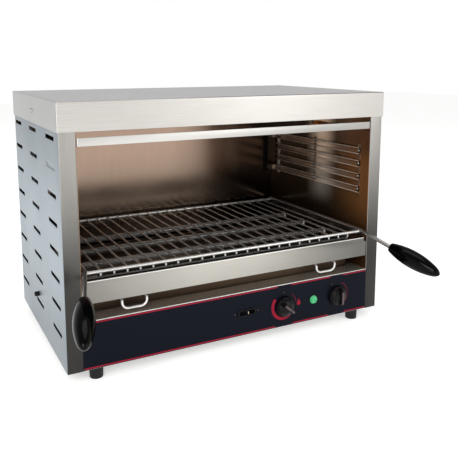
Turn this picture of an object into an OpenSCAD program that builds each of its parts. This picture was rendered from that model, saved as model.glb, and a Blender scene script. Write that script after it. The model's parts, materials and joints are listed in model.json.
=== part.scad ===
// Cheese melter: a countertop grill with quartz tubes above and below a pull-out wire rack.
// Millimetres. X runs to the right, Y to the back, Z up. The origin lies on the surface that
// the feet stand on, at the centre of the outline seen from above, handles and gland included.

/* [Casing] */
// Width of the top cover
cover_w = 640; // [520:1:780]
// Depth of the top cover
cover_d = 384; // [310:1:470]
// Height of the top above the surface it stands on
overall_h = 461.4; // [430:0.2:560]
// How far the cover stands out past the casing on each side
cover_overhang = 2; // [1.5:0.5:4]
// Sheet thickness of the cover
cover_t = 1.2; // [0.8:0.1:1.4]
// Height of the cover's folded skirt
cover_skirt_h = 48; // [36:1:56]
// Sheet thickness of the side, rear and base panels
sheet_t = 1; // [0.8:0.1:1.5]
// Width of each front column
column_w = 27; // [24:1:34]
// Depth of the fold behind each column
column_return = 12; // [8:1:16]
// Width of the rear and top flanges of a side panel
panel_flange = 15; // [12:1:20]

/* [Louvres] */
// Columns of slots in each side panel
slot_columns = 3; // [2:1:4]
// Rows of slots in each side panel
slot_rows = 8; // [4:1:9]
// Length of a slot
slot_l = 62; // [40:1:75]
// Height of a slot
slot_h = 7; // [4:0.5:10]
// Corner radius of a slot
slot_r = 2; // [1:0.5:3]
// From the casing's front to the middle of the first column of slots
slot_front_margin = 60.5; // [45:0.5:80]
// From the casing's rear to the middle of the last column of slots
slot_rear_margin = 39.5; // [39:0.5:60]
// From the cover's skirt down to the middle of the top row
slot_top_margin = 12.6; // [10:0.2:20]
// Spacing of the rows
slot_pitch = 46.8; // [14:0.1:48]

/* [Chamber] */
// Height of the chamber floor's upper face
floor_z = 104; // [90:1:115]
// Sheet thickness of the chamber
liner_t = 1; // [0.8:0.1:1.5]
// Space between the chamber's back wall and the rear panel
rear_space = 10; // [8:1:20]
// Space above the chamber, up to the underside of the cover
roof_space = 22; // [18:1:40]
// Thickness of the insulation pad on the chamber
insulation_t = 20; // [10:1:22]

/* [Guards] */
// Gap between the cover's skirt and the upper guard bar
guard_gap = 9.4; // [6:0.2:14]
// Height of the upper guard bar
guard_bar_h = 13.5; // [10:0.5:20]
// Sheet thickness of the guards
guard_t = 1.5; // [1:0.1:2]
// Depth of the folded tabs and flanges of the guards
guard_fold = 12; // [10:1:16]
// Height of the lower guard rail
guard_rail_h = 38; // [30:1:40]
// Height of the lower guard rail's lower edge
guard_rail_z = 133; // [130:1:134]

/* [Quartz tubes] */
// Tubes in each row
tube_count = 4; // [2:1:4]
// Outer diameter of a tube
tube_d = 12; // [9:0.5:13]
// Wall of a tube
tube_wall = 1.25; // [1:0.05:1.5]
// Diameter of the heating coil inside a tube
coil_d = 7; // [4:0.5:7]
// From the ceiling down to the axis of the upper tubes
upper_tube_drop = 19; // [14:1:24]
// Height of the lower tubes' axis
lower_tube_z = 150; // [144:1:154]
// From the chamber's mouth to the first tube
tube_front_margin = 66; // [50:1:80]
// From the last tube to the chamber's back wall
tube_rear_margin = 61; // [50:1:80]
// Diameter of the ceramic cap outside the chamber wall
cap_d = 20; // [18:0.5:24]
// Length of the ceramic cap outside the chamber wall
cap_l = 17; // [12:0.5:20]

/* [Rack] */
// Height of the rack's wires and front rail
rack_z = 181.5; // [180:0.5:190]
// Diameter of the front and rear rails
rail_d = 6; // [5:0.5:7]
// Diameter of the wires
wire_d = 3.5; // [3.4:0.1:4]
// Number of wires
wire_count = 23; // [15:1:25]
// From the cover's front to the front rail
rack_front = 14; // [12:1:20]
// From the rear rail to the chamber's back wall
rack_rear_margin = 15; // [12:1:40]
// How far the wires' ends drop in front
wire_drop = 8; // [6.5:0.5:8]
// How far the side rods' axis lies above the wires
rod_rise = 3; // [2:0.5:4]
// From the side rods' axis to the chamber wall
rod_margin = 9; // [8:0.5:12]
// Gap between the rack and its runners
slide_gap = 0.3; // [0.3:0.1:1]

/* [Handles] */
// Diameter of the side rods and handle rods
rod_d = 8; // [6:0.5:9]
// Outward angle of each handle seen from above
handle_splay = 15.9; // [0:0.1:18]
// Downward angle of each handle seen from the side
handle_droop = 16; // [0:0.5:25]
// Radius of the bend in each rod
handle_bend_r = 20; // [12:1:30]
// Rod between the bend and the grip
handle_rod_l = 73; // [60:1:120]
// Length of a grip
grip_l = 109; // [90:1:130]
// Largest diameter of a grip
grip_d = 34; // [28:1:38]
// Diameter of a grip where the rod enters
grip_collar_d = 17.5; // [14:0.5:22]
// Radius of a grip's rounded tip
grip_tip_r = 8; // [6:0.5:9]
// How deep the rod sits in the grip
grip_socket = 60; // [40:1:80]

/* [Side guides] */
// Channels in each side guide
guide_levels = 4; // [2:1:4]
// Spacing of the channels
guide_pitch = 26.2; // [22:0.1:27]
// Height of a channel
guide_h = 13; // [11:0.5:16]
// How far a channel stands out from the wall
guide_out = 6; // [5:0.5:7]
// Height of the lowest channel's lower edge
guide_z = 258; // [240:1:262]
// From the chamber's mouth to the guides' front end
guide_front = 26; // [20:1:40]
// From the guides' rear end to the back wall
guide_rear = 30; // [20:1:50]
// Width of the upright posts of a guide
guide_post_w = 9; // [7:0.5:12]

/* [Crumb tray] */
// From the cover's front to the tray
tray_front = 40; // [30:1:60]
// From the tray to the chamber's back wall
tray_rear_margin = 25; // [22:1:40]
// From the tray to the chamber's side walls
tray_side_margin = 20; // [14:1:40]
// Height of the tray's walls
tray_h = 24; // [20:1:26]
// Sheet thickness of the tray
tray_t = 0.8; // [0.8:0.1:1.2]
// Diameter of the loops' wire
loop_wire_d = 4; // [3:0.5:5]
// Outer width of a loop
loop_w = 48; // [40:1:70]
// How far a loop stands out in front of the tray
loop_reach = 29; // [20:1:31]
// Gap between the lower end of a loop and the chamber's floor
loop_floor_gap = 4; // [3:0.5:6]
// Radius of a loop's two lower corners
loop_r = 11; // [6:1:14]
// Radius of the bend where a loop turns down in front of the tray
loop_bend_r = 4; // [3.5:0.5:6]
// From the tray's side to the middle of a loop
loop_side_margin = 72; // [50:1:100]

/* [Controls] */
// Height of the knobs' axes
knob_z = 61; // [56:1:66]
// From the fascia's right end to the timer knob's axis
timer_margin = 73; // [60:1:90]
// From the fascia's right end to the lamp's axis
lamp_margin = 129; // [120:1:140]
// From the fascia's right end to the thermostat knob's axis
thermostat_margin = 196; // [180:1:210]
// From the fascia's right end to the middle of the rocker
rocker_margin = 277.5; // [250:0.5:300]
// Diameter of a knob
knob_d = 40; // [34:1:44]
// Height of a knob
knob_h = 21; // [17:1:26]
// Height of a knob's skirt
knob_skirt_h = 7; // [4:0.5:9]
// Width of a knob's grip bar
knob_bar_w = 9; // [7:0.5:12]
// Gap between a knob and the fascia
knob_gap = 1; // [0.6:0.1:2]
// Diameter of the control spindles
spindle_d = 6; // [5:0.5:6.5]
// Running clearance of a spindle, on the radius
spindle_gap = 0.05; // [0.02:0.01:0.1]
// Diameter of the lamp's lens
lens_d = 16; // [12:0.5:18]
// Width of the rocker's bezel
bezel_w = 38.5; // [36:0.5:44]
// Height of the rocker's bezel
bezel_h = 14; // [13:0.5:18]
// Tilt of the rocker to each side
rocker_tilt = 9; // [5:0.5:10]
// Thickness of the printed overlay
overlay_t = 0.5; // [0.3:0.1:0.8]

/* [Feet and gland] */
// Diameter of a foot
foot_d = 24; // [18:1:28]
// Height of a foot
foot_h = 20; // [14:1:30]
// From the casing's side to a foot's axis
foot_side_margin = 51; // [30:1:80]
// From the cover's front or rear to a foot's axis
foot_front_margin = 16; // [15:1:40]
// Bore of the cable gland
gland_bore = 9; // [6:0.5:11]
// From the rear panel's side to the gland's axis
gland_margin = 70; // [60:1:90]
// Height of the gland's axis
gland_z = 60; // [50:1:70]
// How far the gland stands out behind the cover
gland_out = 20; // [16:1:30]

/* [Hidden] */
$fn = 48;

// How far a cut runs past the face that it opens
cut = 1;

// Colours
steel = "#c9c8c4";
side_steel = "#b9c4ca";
dark_steel = "#8f8a84";
chrome = "#d8d8d8";
black = "#17181a";
navy = "#151b2a";
ceramic = "#ece7da";
quartz = "#eef0ee";
green = "#2fae66";

// Handle direction: the bend's angle, and its roll about the side rod
handle_bend = acos(cos(handle_splay) * cos(handle_droop));
handle_roll = atan2(tan(handle_droop), sin(handle_splay));
bend_back = handle_bend_r * tan(handle_bend / 2);
tip_reach = handle_bend_r * sin(handle_bend)
    + (handle_rod_l + grip_l - grip_tip_r) * cos(handle_bend) + grip_tip_r;
rod_front = rack_front + bend_back + 1;
handle_reach = tip_reach - rod_front;

// Front of the cover, set so that the outline from handle tips to gland is centred on Y
cover_front_y = -(cover_d + gland_out - handle_reach) / 2;
function back(d) = cover_front_y + d;

// Casing
casing_hx = cover_w / 2 - cover_overhang;
casing_front = back(cover_overhang);
casing_rear = back(cover_d - cover_overhang);
base_z = foot_h;
base_top = base_z + sheet_t;
cover_under = overall_h - cover_t;
skirt_z = overall_h - cover_skirt_h;
column_in = casing_hx - column_w;
rear_panel_edge = 2;
rear_vent = [46, 5];
rear_vent_rows = 3;
rear_vent_pitch = 16;
rear_vent_drop = 40;
rear_vent_rise = 30;
floor_slot = [5, 40];
floor_slot_pitch = [42, 60];
rear_face = casing_rear + sheet_t;

// Chamber
chamber_hx = column_in - liner_t;
chamber_front = casing_front + sheet_t;
chamber_rear = casing_rear - sheet_t - rear_space;
ceiling_z = cover_under - roof_space;
chamber_d = chamber_rear - chamber_front;

// Guards
guard_bar_z = skirt_z - guard_gap - guard_bar_h;
guard_end_gap = 0.5;
guard_hx = chamber_hx - guard_end_gap;
guard_flange_inset = 4;
guard_notch = 8;
guard_rail_top = guard_rail_z + guard_rail_h;
guard_rail_tab_top = guard_rail_top - guard_notch;
guard_screw_zs = [guard_bar_z + guard_bar_h / 2, (guard_rail_z + guard_rail_tab_top) / 2];
guard_screw_y = casing_front + guard_t + guard_fold / 2;

// Quartz tubes: rows of parallel axes along X
upper_tube_z = ceiling_z - upper_tube_drop;
tube_pitch = (chamber_d - tube_front_margin - tube_rear_margin) / (tube_count - 1);
tube_ys = [for (i = [0 : tube_count - 1]) chamber_front + tube_front_margin + i * tube_pitch];
tube_hole_gap = 0.5;
neck_wall = 1.5;
neck_d = tube_d + 2 * neck_wall;
neck_in = 3;
cap_end = column_in + cap_l;
cap_end_t = 4;
cap_bore = 3;
tube_end = cap_end - cap_end_t;
retainer_h = 16;
retainer_t = 1;
retainer_hole_d = 6;

// Rack, its rods and its runners
rod_x = chamber_hx - rod_margin;
rod_z = rack_z + rod_rise;
rack_front_y = back(rack_front);
rack_rear_y = chamber_rear - rack_rear_margin;
rail_seat = 0.8;
rail_hx = rod_x - rod_d / 2 + rail_seat;
tie_over = 6;
wire_pitch = 2 * (rod_x - rod_d / 2) / (wire_count + 1);
tick_step = 0.3;
tick_d = wire_d - tick_step;
tick_y = rack_front_y + rail_d / 2 + wire_d / 2;
rod_front_y = back(rod_front);
rod_overhang = 4;
bend_swell = 0.2;
bend_overlap = 0.5;
runner_top = rod_z - rod_d / 2 - slide_gap;
runner_inset = 1.5;
runner_w = rod_margin + rod_d / 2 - runner_inset;
runner_h = 12;
runner_setback = 2;
runner_front = rod_front_y + runner_setback;

// Side guides
guide_y0 = chamber_front + guide_front;
guide_y1 = chamber_rear - guide_rear;
guide_t = 1;
guide_top = guide_z + (guide_levels - 1) * guide_pitch + guide_h;
guide_post_over = 6;
post_hole_d = 4;
end_bracket_w = 13;
end_bracket_t = 2;
end_bracket_inset = 25;
end_bracket_gap = 0.5;
end_bracket_tab = 12;

// Crumb tray
tray_hx = chamber_hx - tray_side_margin;
tray_y0 = back(tray_front);
tray_y1 = chamber_rear - tray_rear_margin;
tray_z = floor_z + slide_gap;
loop_x = tray_hx - loop_side_margin;
loop_y = tray_y0 - loop_reach + loop_wire_d / 2;
loop_top_z = tray_z + tray_h - loop_wire_d / 2;
loop_low_z = floor_z + loop_floor_gap + loop_wire_d / 2;
loop_straight = 1;

// Controls
fascia_front = casing_front + overlay_t;
fascia_back = fascia_front + sheet_t;
fascia_top = floor_z - liner_t;
fascia_fold = 6;
floor_lip = 10;
timer_x = column_in - timer_margin;
lamp_x = column_in - lamp_margin;
lamp_z = knob_z + 1;
thermostat_x = column_in - thermostat_margin;
rocker_x = column_in - rocker_margin;
rocker_z = knob_z + 2.5;
knob_back = casing_front - knob_gap;
boss_d = 10;
boss_gap = 0.5;
boss_hole_d = boss_d + 2 * boss_gap;
spindle_in = 14;
knob_taper = 3;
knob_bar_rise = 5;
knob_bar_taper = 2.5;
knob_hollow_h = 2.5;
knob_rim_w = 7;
control_screw_pitch = 28;
control_screw_d = 3;
control_screw_hole_d = 3.4;
control_screw_l = 6;
control_head_d = 5.6;
control_head_hole_d = 6.5;
control_head_gap = 0.4;
overlay_clear = 0.5;
lens_neck_d = lens_d - 3;
lens_flange_t = 2;
lens_dome_h = 3;
lens_rim = 1.5;
lamp_depth = 30;
lamp_nut_t = 4;
lamp_pin = [1, 8, 4];
lamp_pin_pitch = 6;
switch_w = bezel_w - 4;
switch_h = bezel_h - 2.5;
switch_depth = 26;
switch_hole_gap = 0.2;
bezel_t = 2;
bezel_r = 2;
rocker_well_w = bezel_w - 8;
rocker_well_h = bezel_h - 5;
rocker_well_depth = 8;
rocker_gap = 0.4;
rocker_pin_d = 2;
rocker_pin_in = 0.8;
rocker_pin_rise = 0.5;
rocker_axis_y = casing_front - rocker_pin_rise;
thermostat_size = [38, 34, 36];
timer_size = [46, 42, 46];

// Screws and other small parts
screw_d = 4;
screw_hole_d = 4.4;
screw_head_d = 8.5;
screw_head_h = 2.6;
stud_d = 6;
stud_hole_d = 6.6;
stud_over = 9;
nut_d = 11.5;
nut_h = 5;
peg_d = 9;
peg_out = 8;
peg_in = 3;
peg_z = 88;
cover_screw_rise = 21.6;
cover_screw_z = skirt_z + cover_screw_rise;
screw_l = 8;
rear_screw_inset = 38;
middle_y = back(cover_d / 2);
rear_screw_zs = [base_z + rear_screw_inset, (base_z + skirt_z) / 2, skirt_z - rear_screw_inset];
rear_screw_x = casing_hx - panel_flange / 2;
foot_xs = [-(casing_hx - foot_side_margin), casing_hx - foot_side_margin];
foot_ys = [back(foot_front_margin), back(cover_d - foot_front_margin)];
gland_x = casing_hx - gland_margin;
gland_thread_d = 20;
gland_thread_gap = 0.25;
gland_in = 8;
gland_nut_d = 27;
gland_nut_in = 6;
gland_dome = [23, 17];
gland_nut_share = 0.3;

// Terminal block: its size, its place left of the gland and in front of the rear panel, and its ways
terminal_size = [60, 24, 22];
terminal_left = 110;
terminal_ahead = 70;
terminal_ways = 5;
terminal_pitch = 11;
terminal_edge = 8;
terminal_screw_d = 5;
terminal_screw_z = 10;
terminal_wire_d = 3.5;
terminal_wire_z = 7;

// Wiring: the loom along the base and its branches
loom_d = 7;
feed_d = 5;
branch_d = 4;
loom_ahead = 60;
loom_rise = 7;
feed_left = 80;
timer_lead_drop = 14;
thermostat_lead_drop = 12;

// Centres of the slots as [y, z]
slot_ys = [for (i = [0 : slot_columns - 1]) casing_front + slot_front_margin
    + i * (casing_rear - casing_front - slot_front_margin - slot_rear_margin) / (slot_columns - 1)];
slot_zs = [for (k = [0 : slot_rows - 1]) skirt_z - slot_top_margin - k * slot_pitch];

// Rest angles of the knobs' pointers, from +X towards +Z
thermostat_rest = 140;
timer_rest = 90;

// Height and depth of the black side pegs, just above a slot of the middle column
peg_offset = 10.5;
peg_y = slot_ys[floor(slot_columns / 2)] + peg_offset;

// Sensing bulb and capillary
bulb_d = 6;
bulb_l = 90;
bulb_hole_d = 3.4;
bulb_wall_gap = 6;
bulb_x = chamber_hx - bulb_wall_gap;
bulb_setback = 95;
bulb_y = chamber_front + bulb_setback;
bulb_clips = [20, 70];
bulb_clip_w = 8;
bulb_clip_t = 1;
bulb_z = (guide_top + guide_post_over + upper_tube_z) / 2;
capillary_d = 2.2;
capillary_rise = 12;
capillary_z = knob_z + capillary_rise;

// Where leads run up in the gap between the chamber and a side panel
riser_offset = 7;
gap_x = (column_in + casing_hx) / 2 + riser_offset;

// Small dimensions of the backing plates behind two slots
plate_t = 1;
plate_over = 4;

// ---------------------------------------------------------------- shared shapes

// A block between two opposite corners
module block(low, high) {
    translate(low) cube(high - low);
}

// A round bar between two points
module rod(from, to, d) {
    run = to - from;
    translate(from)
        rotate([0, acos(run.z / norm(run)), atan2(run.y, run.x)])
            cylinder(h = norm(run), d = d);
}

// A round bar along +Y or -Y from a point
module rod_y(from, length, d) {
    translate(from) rotate([-90, 0, 0]) cylinder(h = length, d = d);
}

// A round bar along +X from a point
module rod_along_x(from, length, d) {
    translate(from) rotate([0, 90, 0]) cylinder(h = length, d = d);
}

// The same thing on the right and, mirrored, on the left
module both_sides() {
    children();
    mirror([1, 0, 0]) children();
}

// Bars through a list of points
module wire_run(points, d) {
    for (i = [0 : len(points) - 2]) rod(points[i], points[i + 1], d);
}

// A rectangle with rounded corners, centred
module rounded_rect(size, r) {
    square([size.x - 2 * r, size.y], center = true);
    square([size.x, size.y - 2 * r], center = true);
    for (sx = [-1, 1], sy = [-1, 1])
        translate([sx * (size.x / 2 - r), sy * (size.y / 2 - r)]) circle(r = r);
}

// A pan-head screw: its head stands on the XY plane and its shank points down
module pan_screw(length) {
    translate([0, 0, -length]) cylinder(h = length, d = screw_d);
    rotate_extrude()
        intersection() {
            square([screw_head_d / 2, screw_head_h]);
            translate([0, screw_head_h - screw_head_d * 0.75]) circle(r = screw_head_d * 0.75);
        }
}

// ---------------------------------------------------------------- casing

module top_cover() {
    color(steel) difference() {
        block([-cover_w / 2, back(0), skirt_z], [cover_w / 2, back(cover_d), overall_h]);
        block([-cover_w / 2 + cover_t, back(cover_t), skirt_z - cut],
            [cover_w / 2 - cover_t, back(cover_d - cover_t), cover_under]);
        rod_along_x([-cover_w / 2 - cut, middle_y, cover_screw_z], cover_w + 2 * cut, screw_hole_d);
    }
}

module side_panel() {
    color(side_steel) difference() {
        union() {
            block([casing_hx - sheet_t, casing_front, base_z], [casing_hx, casing_rear, cover_under]);
            block([column_in, casing_front, base_z], [casing_hx, casing_front + sheet_t, cover_under]);
            block([column_in, casing_front, base_top],
                [column_in + sheet_t, casing_front + column_return, cover_under]);
            block([casing_hx - panel_flange, casing_rear - sheet_t, base_top],
                [casing_hx, casing_rear, cover_under]);
            block([casing_hx - panel_flange, casing_front, cover_under - sheet_t],
                [casing_hx, casing_rear, cover_under]);
        }
        translate([casing_hx - sheet_t - cut, 0, 0]) rotate([90, 0, 90])
            linear_extrude(sheet_t + 2 * cut)
                for (y = slot_ys, z = slot_zs) translate([y, z]) rounded_rect([slot_l, slot_h], slot_r);
        rod_along_x([casing_hx - sheet_t - cut, middle_y, cover_screw_z], sheet_t + 2 * cut, screw_hole_d);
        rod_along_x([casing_hx - sheet_t - cut, peg_y, peg_z], sheet_t + 2 * cut, screw_hole_d);
        for (z = rear_screw_zs)
            rod_y([rear_screw_x, casing_rear - sheet_t - cut, z], sheet_t + 2 * cut, screw_hole_d);
    }
}

module left_side_panel() {
    mirror([1, 0, 0]) side_panel();
}

module right_side_panel() {
    side_panel();
}

module rear_panel() {
    top_pitch = 1.5 * rear_vent.x;
    color(side_steel) difference() {
        block([-casing_hx + rear_panel_edge, casing_rear, base_z + rear_panel_edge],
            [casing_hx - rear_panel_edge, rear_face, skirt_z - rear_panel_edge]);
        translate([0, rear_face + cut, 0]) rotate([90, 0, 0]) linear_extrude(sheet_t + 2 * cut)
            for (i = [-3 : 3], k = [0 : rear_vent_rows - 1]) {
                translate([i * top_pitch, skirt_z - rear_vent_drop - k * rear_vent_pitch])
                    square(rear_vent, center = true);
                translate([i * rear_vent.x, base_z + rear_vent_rise + k * rear_vent_pitch])
                    square([rear_vent.x * 0.6, rear_vent.y], center = true);
            }
        rod_y([gland_x, casing_rear - cut, gland_z], sheet_t + 2 * cut,
            gland_thread_d + 2 * gland_thread_gap);
        for (sx = [-1, 1], z = rear_screw_zs)
            rod_y([sx * rear_screw_x, casing_rear - cut, z], sheet_t + 2 * cut, screw_hole_d);
    }
}

module base_plate() {
    color(dark_steel) difference() {
        block([-casing_hx + sheet_t, casing_front + sheet_t, base_z],
            [casing_hx - sheet_t, casing_rear - sheet_t, base_top]);
        for (x = foot_xs, y = foot_ys)
            translate([x, y, base_z - cut]) cylinder(h = sheet_t + 2 * cut, d = stud_hole_d);
        for (i = [-4 : 4], k = [-1 : 1])
            translate([i * floor_slot_pitch.x, middle_y + k * floor_slot_pitch.y, base_z - cut])
                linear_extrude(sheet_t + 2 * cut) square(floor_slot, center = true);
    }
}

// ---------------------------------------------------------------- chamber

module chamber_wall() {
    color(dark_steel) difference() {
        block([chamber_hx, chamber_front, floor_z], [column_in, chamber_rear, ceiling_z]);
        for (y = tube_ys, z = [lower_tube_z, upper_tube_z])
            rod_along_x([chamber_hx - cut, y, z], liner_t + 2 * cut, neck_d + 2 * tube_hole_gap);
        for (z = guard_screw_zs)
            rod_along_x([chamber_hx - cut, guard_screw_y, z], liner_t + 2 * cut, screw_hole_d);
    }
}

module chamber_left_wall() {
    mirror([1, 0, 0]) chamber_wall();
}

module chamber_right_wall() {
    difference() {
        chamber_wall();
        rod_along_x([chamber_hx - cut, bulb_y, bulb_z], liner_t + 2 * cut, bulb_hole_d);
    }
}

module chamber_back_wall() {
    color(dark_steel)
        block([-column_in, chamber_rear, floor_z], [column_in, chamber_rear + liner_t, ceiling_z]);
}

module chamber_floor() {
    color(dark_steel) union() {
        block([-column_in, fascia_front, fascia_top], [column_in, casing_rear - sheet_t, floor_z]);
        block([-column_in + liner_t, fascia_back, fascia_top - floor_lip],
            [column_in - liner_t, fascia_back + liner_t, fascia_top]);
    }
}

module ceiling_reflector() {
    color(steel) block([-column_in, casing_front + sheet_t, ceiling_z],
        [column_in, chamber_rear + liner_t, ceiling_z + liner_t]);
}

module roof_insulation() {
    inset = 20;
    color("#d9d2bd")
        block([-column_in + inset, chamber_front + inset, ceiling_z + liner_t],
            [column_in - inset, chamber_rear - inset, ceiling_z + liner_t + insulation_t]);
}

// ---------------------------------------------------------------- front

// Everything that passes through the fascia and its overlay, as one outline in X and Z
module control_holes(clearance) {
    translate([timer_x, knob_z]) circle(d = boss_hole_d + clearance);
    translate([thermostat_x, knob_z]) circle(d = boss_hole_d + clearance);
    translate([lamp_x, lamp_z]) circle(d = lens_neck_d + 2 * boss_gap + clearance);
    translate([rocker_x, rocker_z]) square([switch_w + 2 * switch_hole_gap + clearance,
        switch_h + 2 * switch_hole_gap + clearance], center = true);
}

module control_fascia() {
    color(dark_steel) difference() {
        union() {
            block([-column_in, fascia_front, base_top], [column_in, fascia_back, fascia_top]);
            block([-column_in, fascia_front, base_top],
                [column_in, fascia_back + fascia_fold, base_top + sheet_t]);
        }
        translate([0, fascia_back + cut, 0]) rotate([90, 0, 0])
            linear_extrude(sheet_t + 2 * cut) control_holes(0);
        for (x = [timer_x, thermostat_x], side = [-1, 1])
            rod_y([x + side * control_screw_pitch / 2, fascia_front - cut, knob_z], sheet_t + 2 * cut,
                control_screw_hole_d);
    }
}

module fascia_overlay() {
    color(navy) difference() {
        block([-column_in, casing_front, base_top], [column_in, fascia_front, fascia_top]);
        translate([0, fascia_front + cut, 0]) rotate([90, 0, 0])
            linear_extrude(overlay_t + 2 * cut) control_holes(overlay_clear);
        for (x = [timer_x, thermostat_x], side = [-1, 1])
            rod_y([x + side * control_screw_pitch / 2, casing_front - cut, knob_z], overlay_t + 2 * cut,
                control_head_hole_d);
    }
}

// An end tab of a guard, folded back along the chamber wall
module guard_tab(z0, z1) {
    difference() {
        block([guard_hx - guard_t, casing_front, z0],
            [chamber_hx, casing_front + guard_t + guard_fold, z1]);
        rod_along_x([guard_hx - guard_t - cut, guard_screw_y, (z0 + z1) / 2], guard_t + 4 * cut,
            screw_hole_d);
    }
}

module upper_guard_bar() {
    color(steel) union() {
        block([-guard_hx, casing_front, guard_bar_z],
            [guard_hx, casing_front + guard_t, guard_bar_z + guard_bar_h]);
        both_sides() guard_tab(guard_bar_z, guard_bar_z + guard_bar_h);
    }
}

module lower_guard_rail() {
    color(steel) union() {
        block([-guard_hx, casing_front, guard_rail_z],
            [guard_hx, casing_front + guard_t, guard_rail_top]);
        block([-guard_hx + guard_flange_inset, casing_front, guard_rail_top - guard_t],
            [guard_hx - guard_flange_inset, casing_front + guard_fold, guard_rail_top]);
        both_sides() guard_tab(guard_rail_z, guard_rail_tab_top);
    }
}

// ---------------------------------------------------------------- rack supports

module rack_runner() {
    color(steel) union() {
        block([chamber_hx - runner_w, runner_front, runner_top - guide_t],
            [chamber_hx, chamber_rear, runner_top]);
        block([chamber_hx - guide_t, runner_front, runner_top - runner_h],
            [chamber_hx, chamber_rear, runner_top]);
    }
}

module left_rack_runner() {
    mirror([1, 0, 0]) rack_runner();
}

module right_rack_runner() {
    rack_runner();
}

// Channels with their open side towards the chamber, on three upright posts
module side_guide() {
    posts = [guide_y0 + guide_post_w / 2, (guide_y0 + guide_y1) / 2, guide_y1 - guide_post_w / 2];
    color(chrome) difference() {
        union() {
            for (level = [0 : guide_levels - 1]) {
                z = guide_z + level * guide_pitch;
                block([chamber_hx - 2 * guide_t, guide_y0, z], [chamber_hx - guide_t, guide_y1, z + guide_h]);
                for (edge = [z, z + guide_h - guide_t])
                    block([chamber_hx - guide_out, guide_y0, edge],
                        [chamber_hx - guide_t, guide_y1, edge + guide_t]);
            }
            for (y = posts)
                block([chamber_hx - guide_t, y - guide_post_w / 2, guide_z - guide_post_over],
                    [chamber_hx, y + guide_post_w / 2, guide_top + guide_post_over]);
        }
        for (y = posts, level = [0 : guide_levels - 2])
            rod_along_x([chamber_hx - 2 * guide_t - cut, y, guide_z + guide_h + level * guide_pitch
                + (guide_pitch - guide_h) / 2], 2 * guide_t + 2 * cut, post_hole_d);
    }
}

module left_side_guide() {
    mirror([1, 0, 0]) side_guide();
}

module right_side_guide() {
    side_guide();
}

// Upright strips on the back wall that the guides' rear ends hook into
module guide_end_brackets() {
    x0 = chamber_hx - end_bracket_inset;
    x1 = x0 + end_bracket_w;
    tab_y = guide_y1 + end_bracket_gap;
    color(black) both_sides() union() {
        block([x0, chamber_rear - end_bracket_t, guide_z - guide_post_over],
            [x1, chamber_rear, guide_top + guide_post_over]);
        for (z = [guide_z, guide_top - end_bracket_tab]) {
            block([x1 - end_bracket_t, tab_y, z], [x1, chamber_rear, z + end_bracket_tab]);
            block([x1 - end_bracket_t, tab_y, z], [chamber_hx, tab_y + end_bracket_t, z + end_bracket_tab]);
        }
    }
}

// ---------------------------------------------------------------- quartz tubes

module tube_row(z) {
    for (y = tube_ys) difference() {
        rod_along_x([-tube_end, y, z], 2 * tube_end, tube_d);
        rod_along_x([-tube_end - cut, y, z], 2 * (tube_end + cut), tube_d - 2 * tube_wall);
    }
}

module upper_quartz_tubes() {
    color(quartz) tube_row(upper_tube_z);
}

module lower_quartz_tubes() {
    color(quartz) tube_row(lower_tube_z);
}

module heating_coils() {
    color(dark_steel) for (y = tube_ys, z = [lower_tube_z, upper_tube_z])
        rod_along_x([-tube_end, y, z], 2 * tube_end, coil_d);
}

// A stepped ceramic cap: its neck stands in the wall's hole and the tube sits in its bore
module tube_cap(y, z) {
    difference() {
        union() {
            rod_along_x([chamber_hx - neck_in, y, z], neck_in + cap_l + liner_t, neck_d);
            rod_along_x([column_in, y, z], cap_l, cap_d);
        }
        rod_along_x([chamber_hx - neck_in - cut, y, z], tube_end - chamber_hx + neck_in + cut, tube_d);
        rod_along_x([tube_end - cut, y, z], cap_end - tube_end + 2 * cut, cap_bore);
    }
}

module cap_row(z) {
    color(ceramic) both_sides() for (y = tube_ys) tube_cap(y, z);
}

module upper_tube_caps() {
    cap_row(upper_tube_z);
}

module lower_tube_caps() {
    cap_row(lower_tube_z);
}

// Strips that hold the caps against the chamber walls, with a foot at each end
module tube_retainers() {
    y0 = tube_ys[0] - cap_d;
    y1 = tube_ys[tube_count - 1] + cap_d;
    color(steel) both_sides() for (z = [lower_tube_z, upper_tube_z]) difference() {
        union() {
            block([cap_end, y0, z - retainer_h / 2], [cap_end + retainer_t, y1, z + retainer_h / 2]);
            for (y = [y0, y1 - retainer_t])
                block([column_in, y, z - retainer_h / 2],
                    [cap_end + retainer_t, y + retainer_t, z + retainer_h / 2]);
        }
        for (y = tube_ys) rod_along_x([cap_end - cut, y, z], retainer_t + 2 * cut, retainer_hole_d);
    }
}

// ---------------------------------------------------------------- rack

module rack_grid() {
    wire_xs = [for (i = [1 : wire_count]) -rod_x + rod_d / 2 + i * wire_pitch];
    tie_hx = wire_xs[wire_count - 1] + tie_over;
    past = 20;
    color(chrome) difference() {
        union() {
            for (y = [rack_front_y, rack_rear_y]) rod_along_x([-rail_hx, y, rack_z], 2 * rail_hx, rail_d);
            rod_along_x([-tie_hx, tick_y, rack_z - wire_drop], 2 * tie_hx, wire_d);
            for (x = wire_xs) {
                rod_y([x, rack_front_y, rack_z], rack_rear_y - rack_front_y, wire_d);
                translate([x, tick_y, rack_z - wire_drop]) cylinder(h = wire_drop, d = tick_d);
            }
        }
        both_sides()
            rod_y([rod_x, rack_front_y - past, rod_z], rack_rear_y - rack_front_y + 2 * past, rod_d);
    }
}

// The frame at the start of the right rod's bend, rolled so that the bend turns towards +X
module at_bend() {
    translate([rod_x, rod_front_y, rod_z]) rotate([0, handle_roll, 0]) children();
}

// Places children so that their +Z runs along the right handle, from the end of the rod's bend
module along_handle() {
    at_bend()
        translate([handle_bend_r * (1 - cos(handle_bend)), -handle_bend_r * sin(handle_bend), 0])
            rotate([0, 0, handle_bend]) rotate([90, 0, 0]) children();
}

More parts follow.
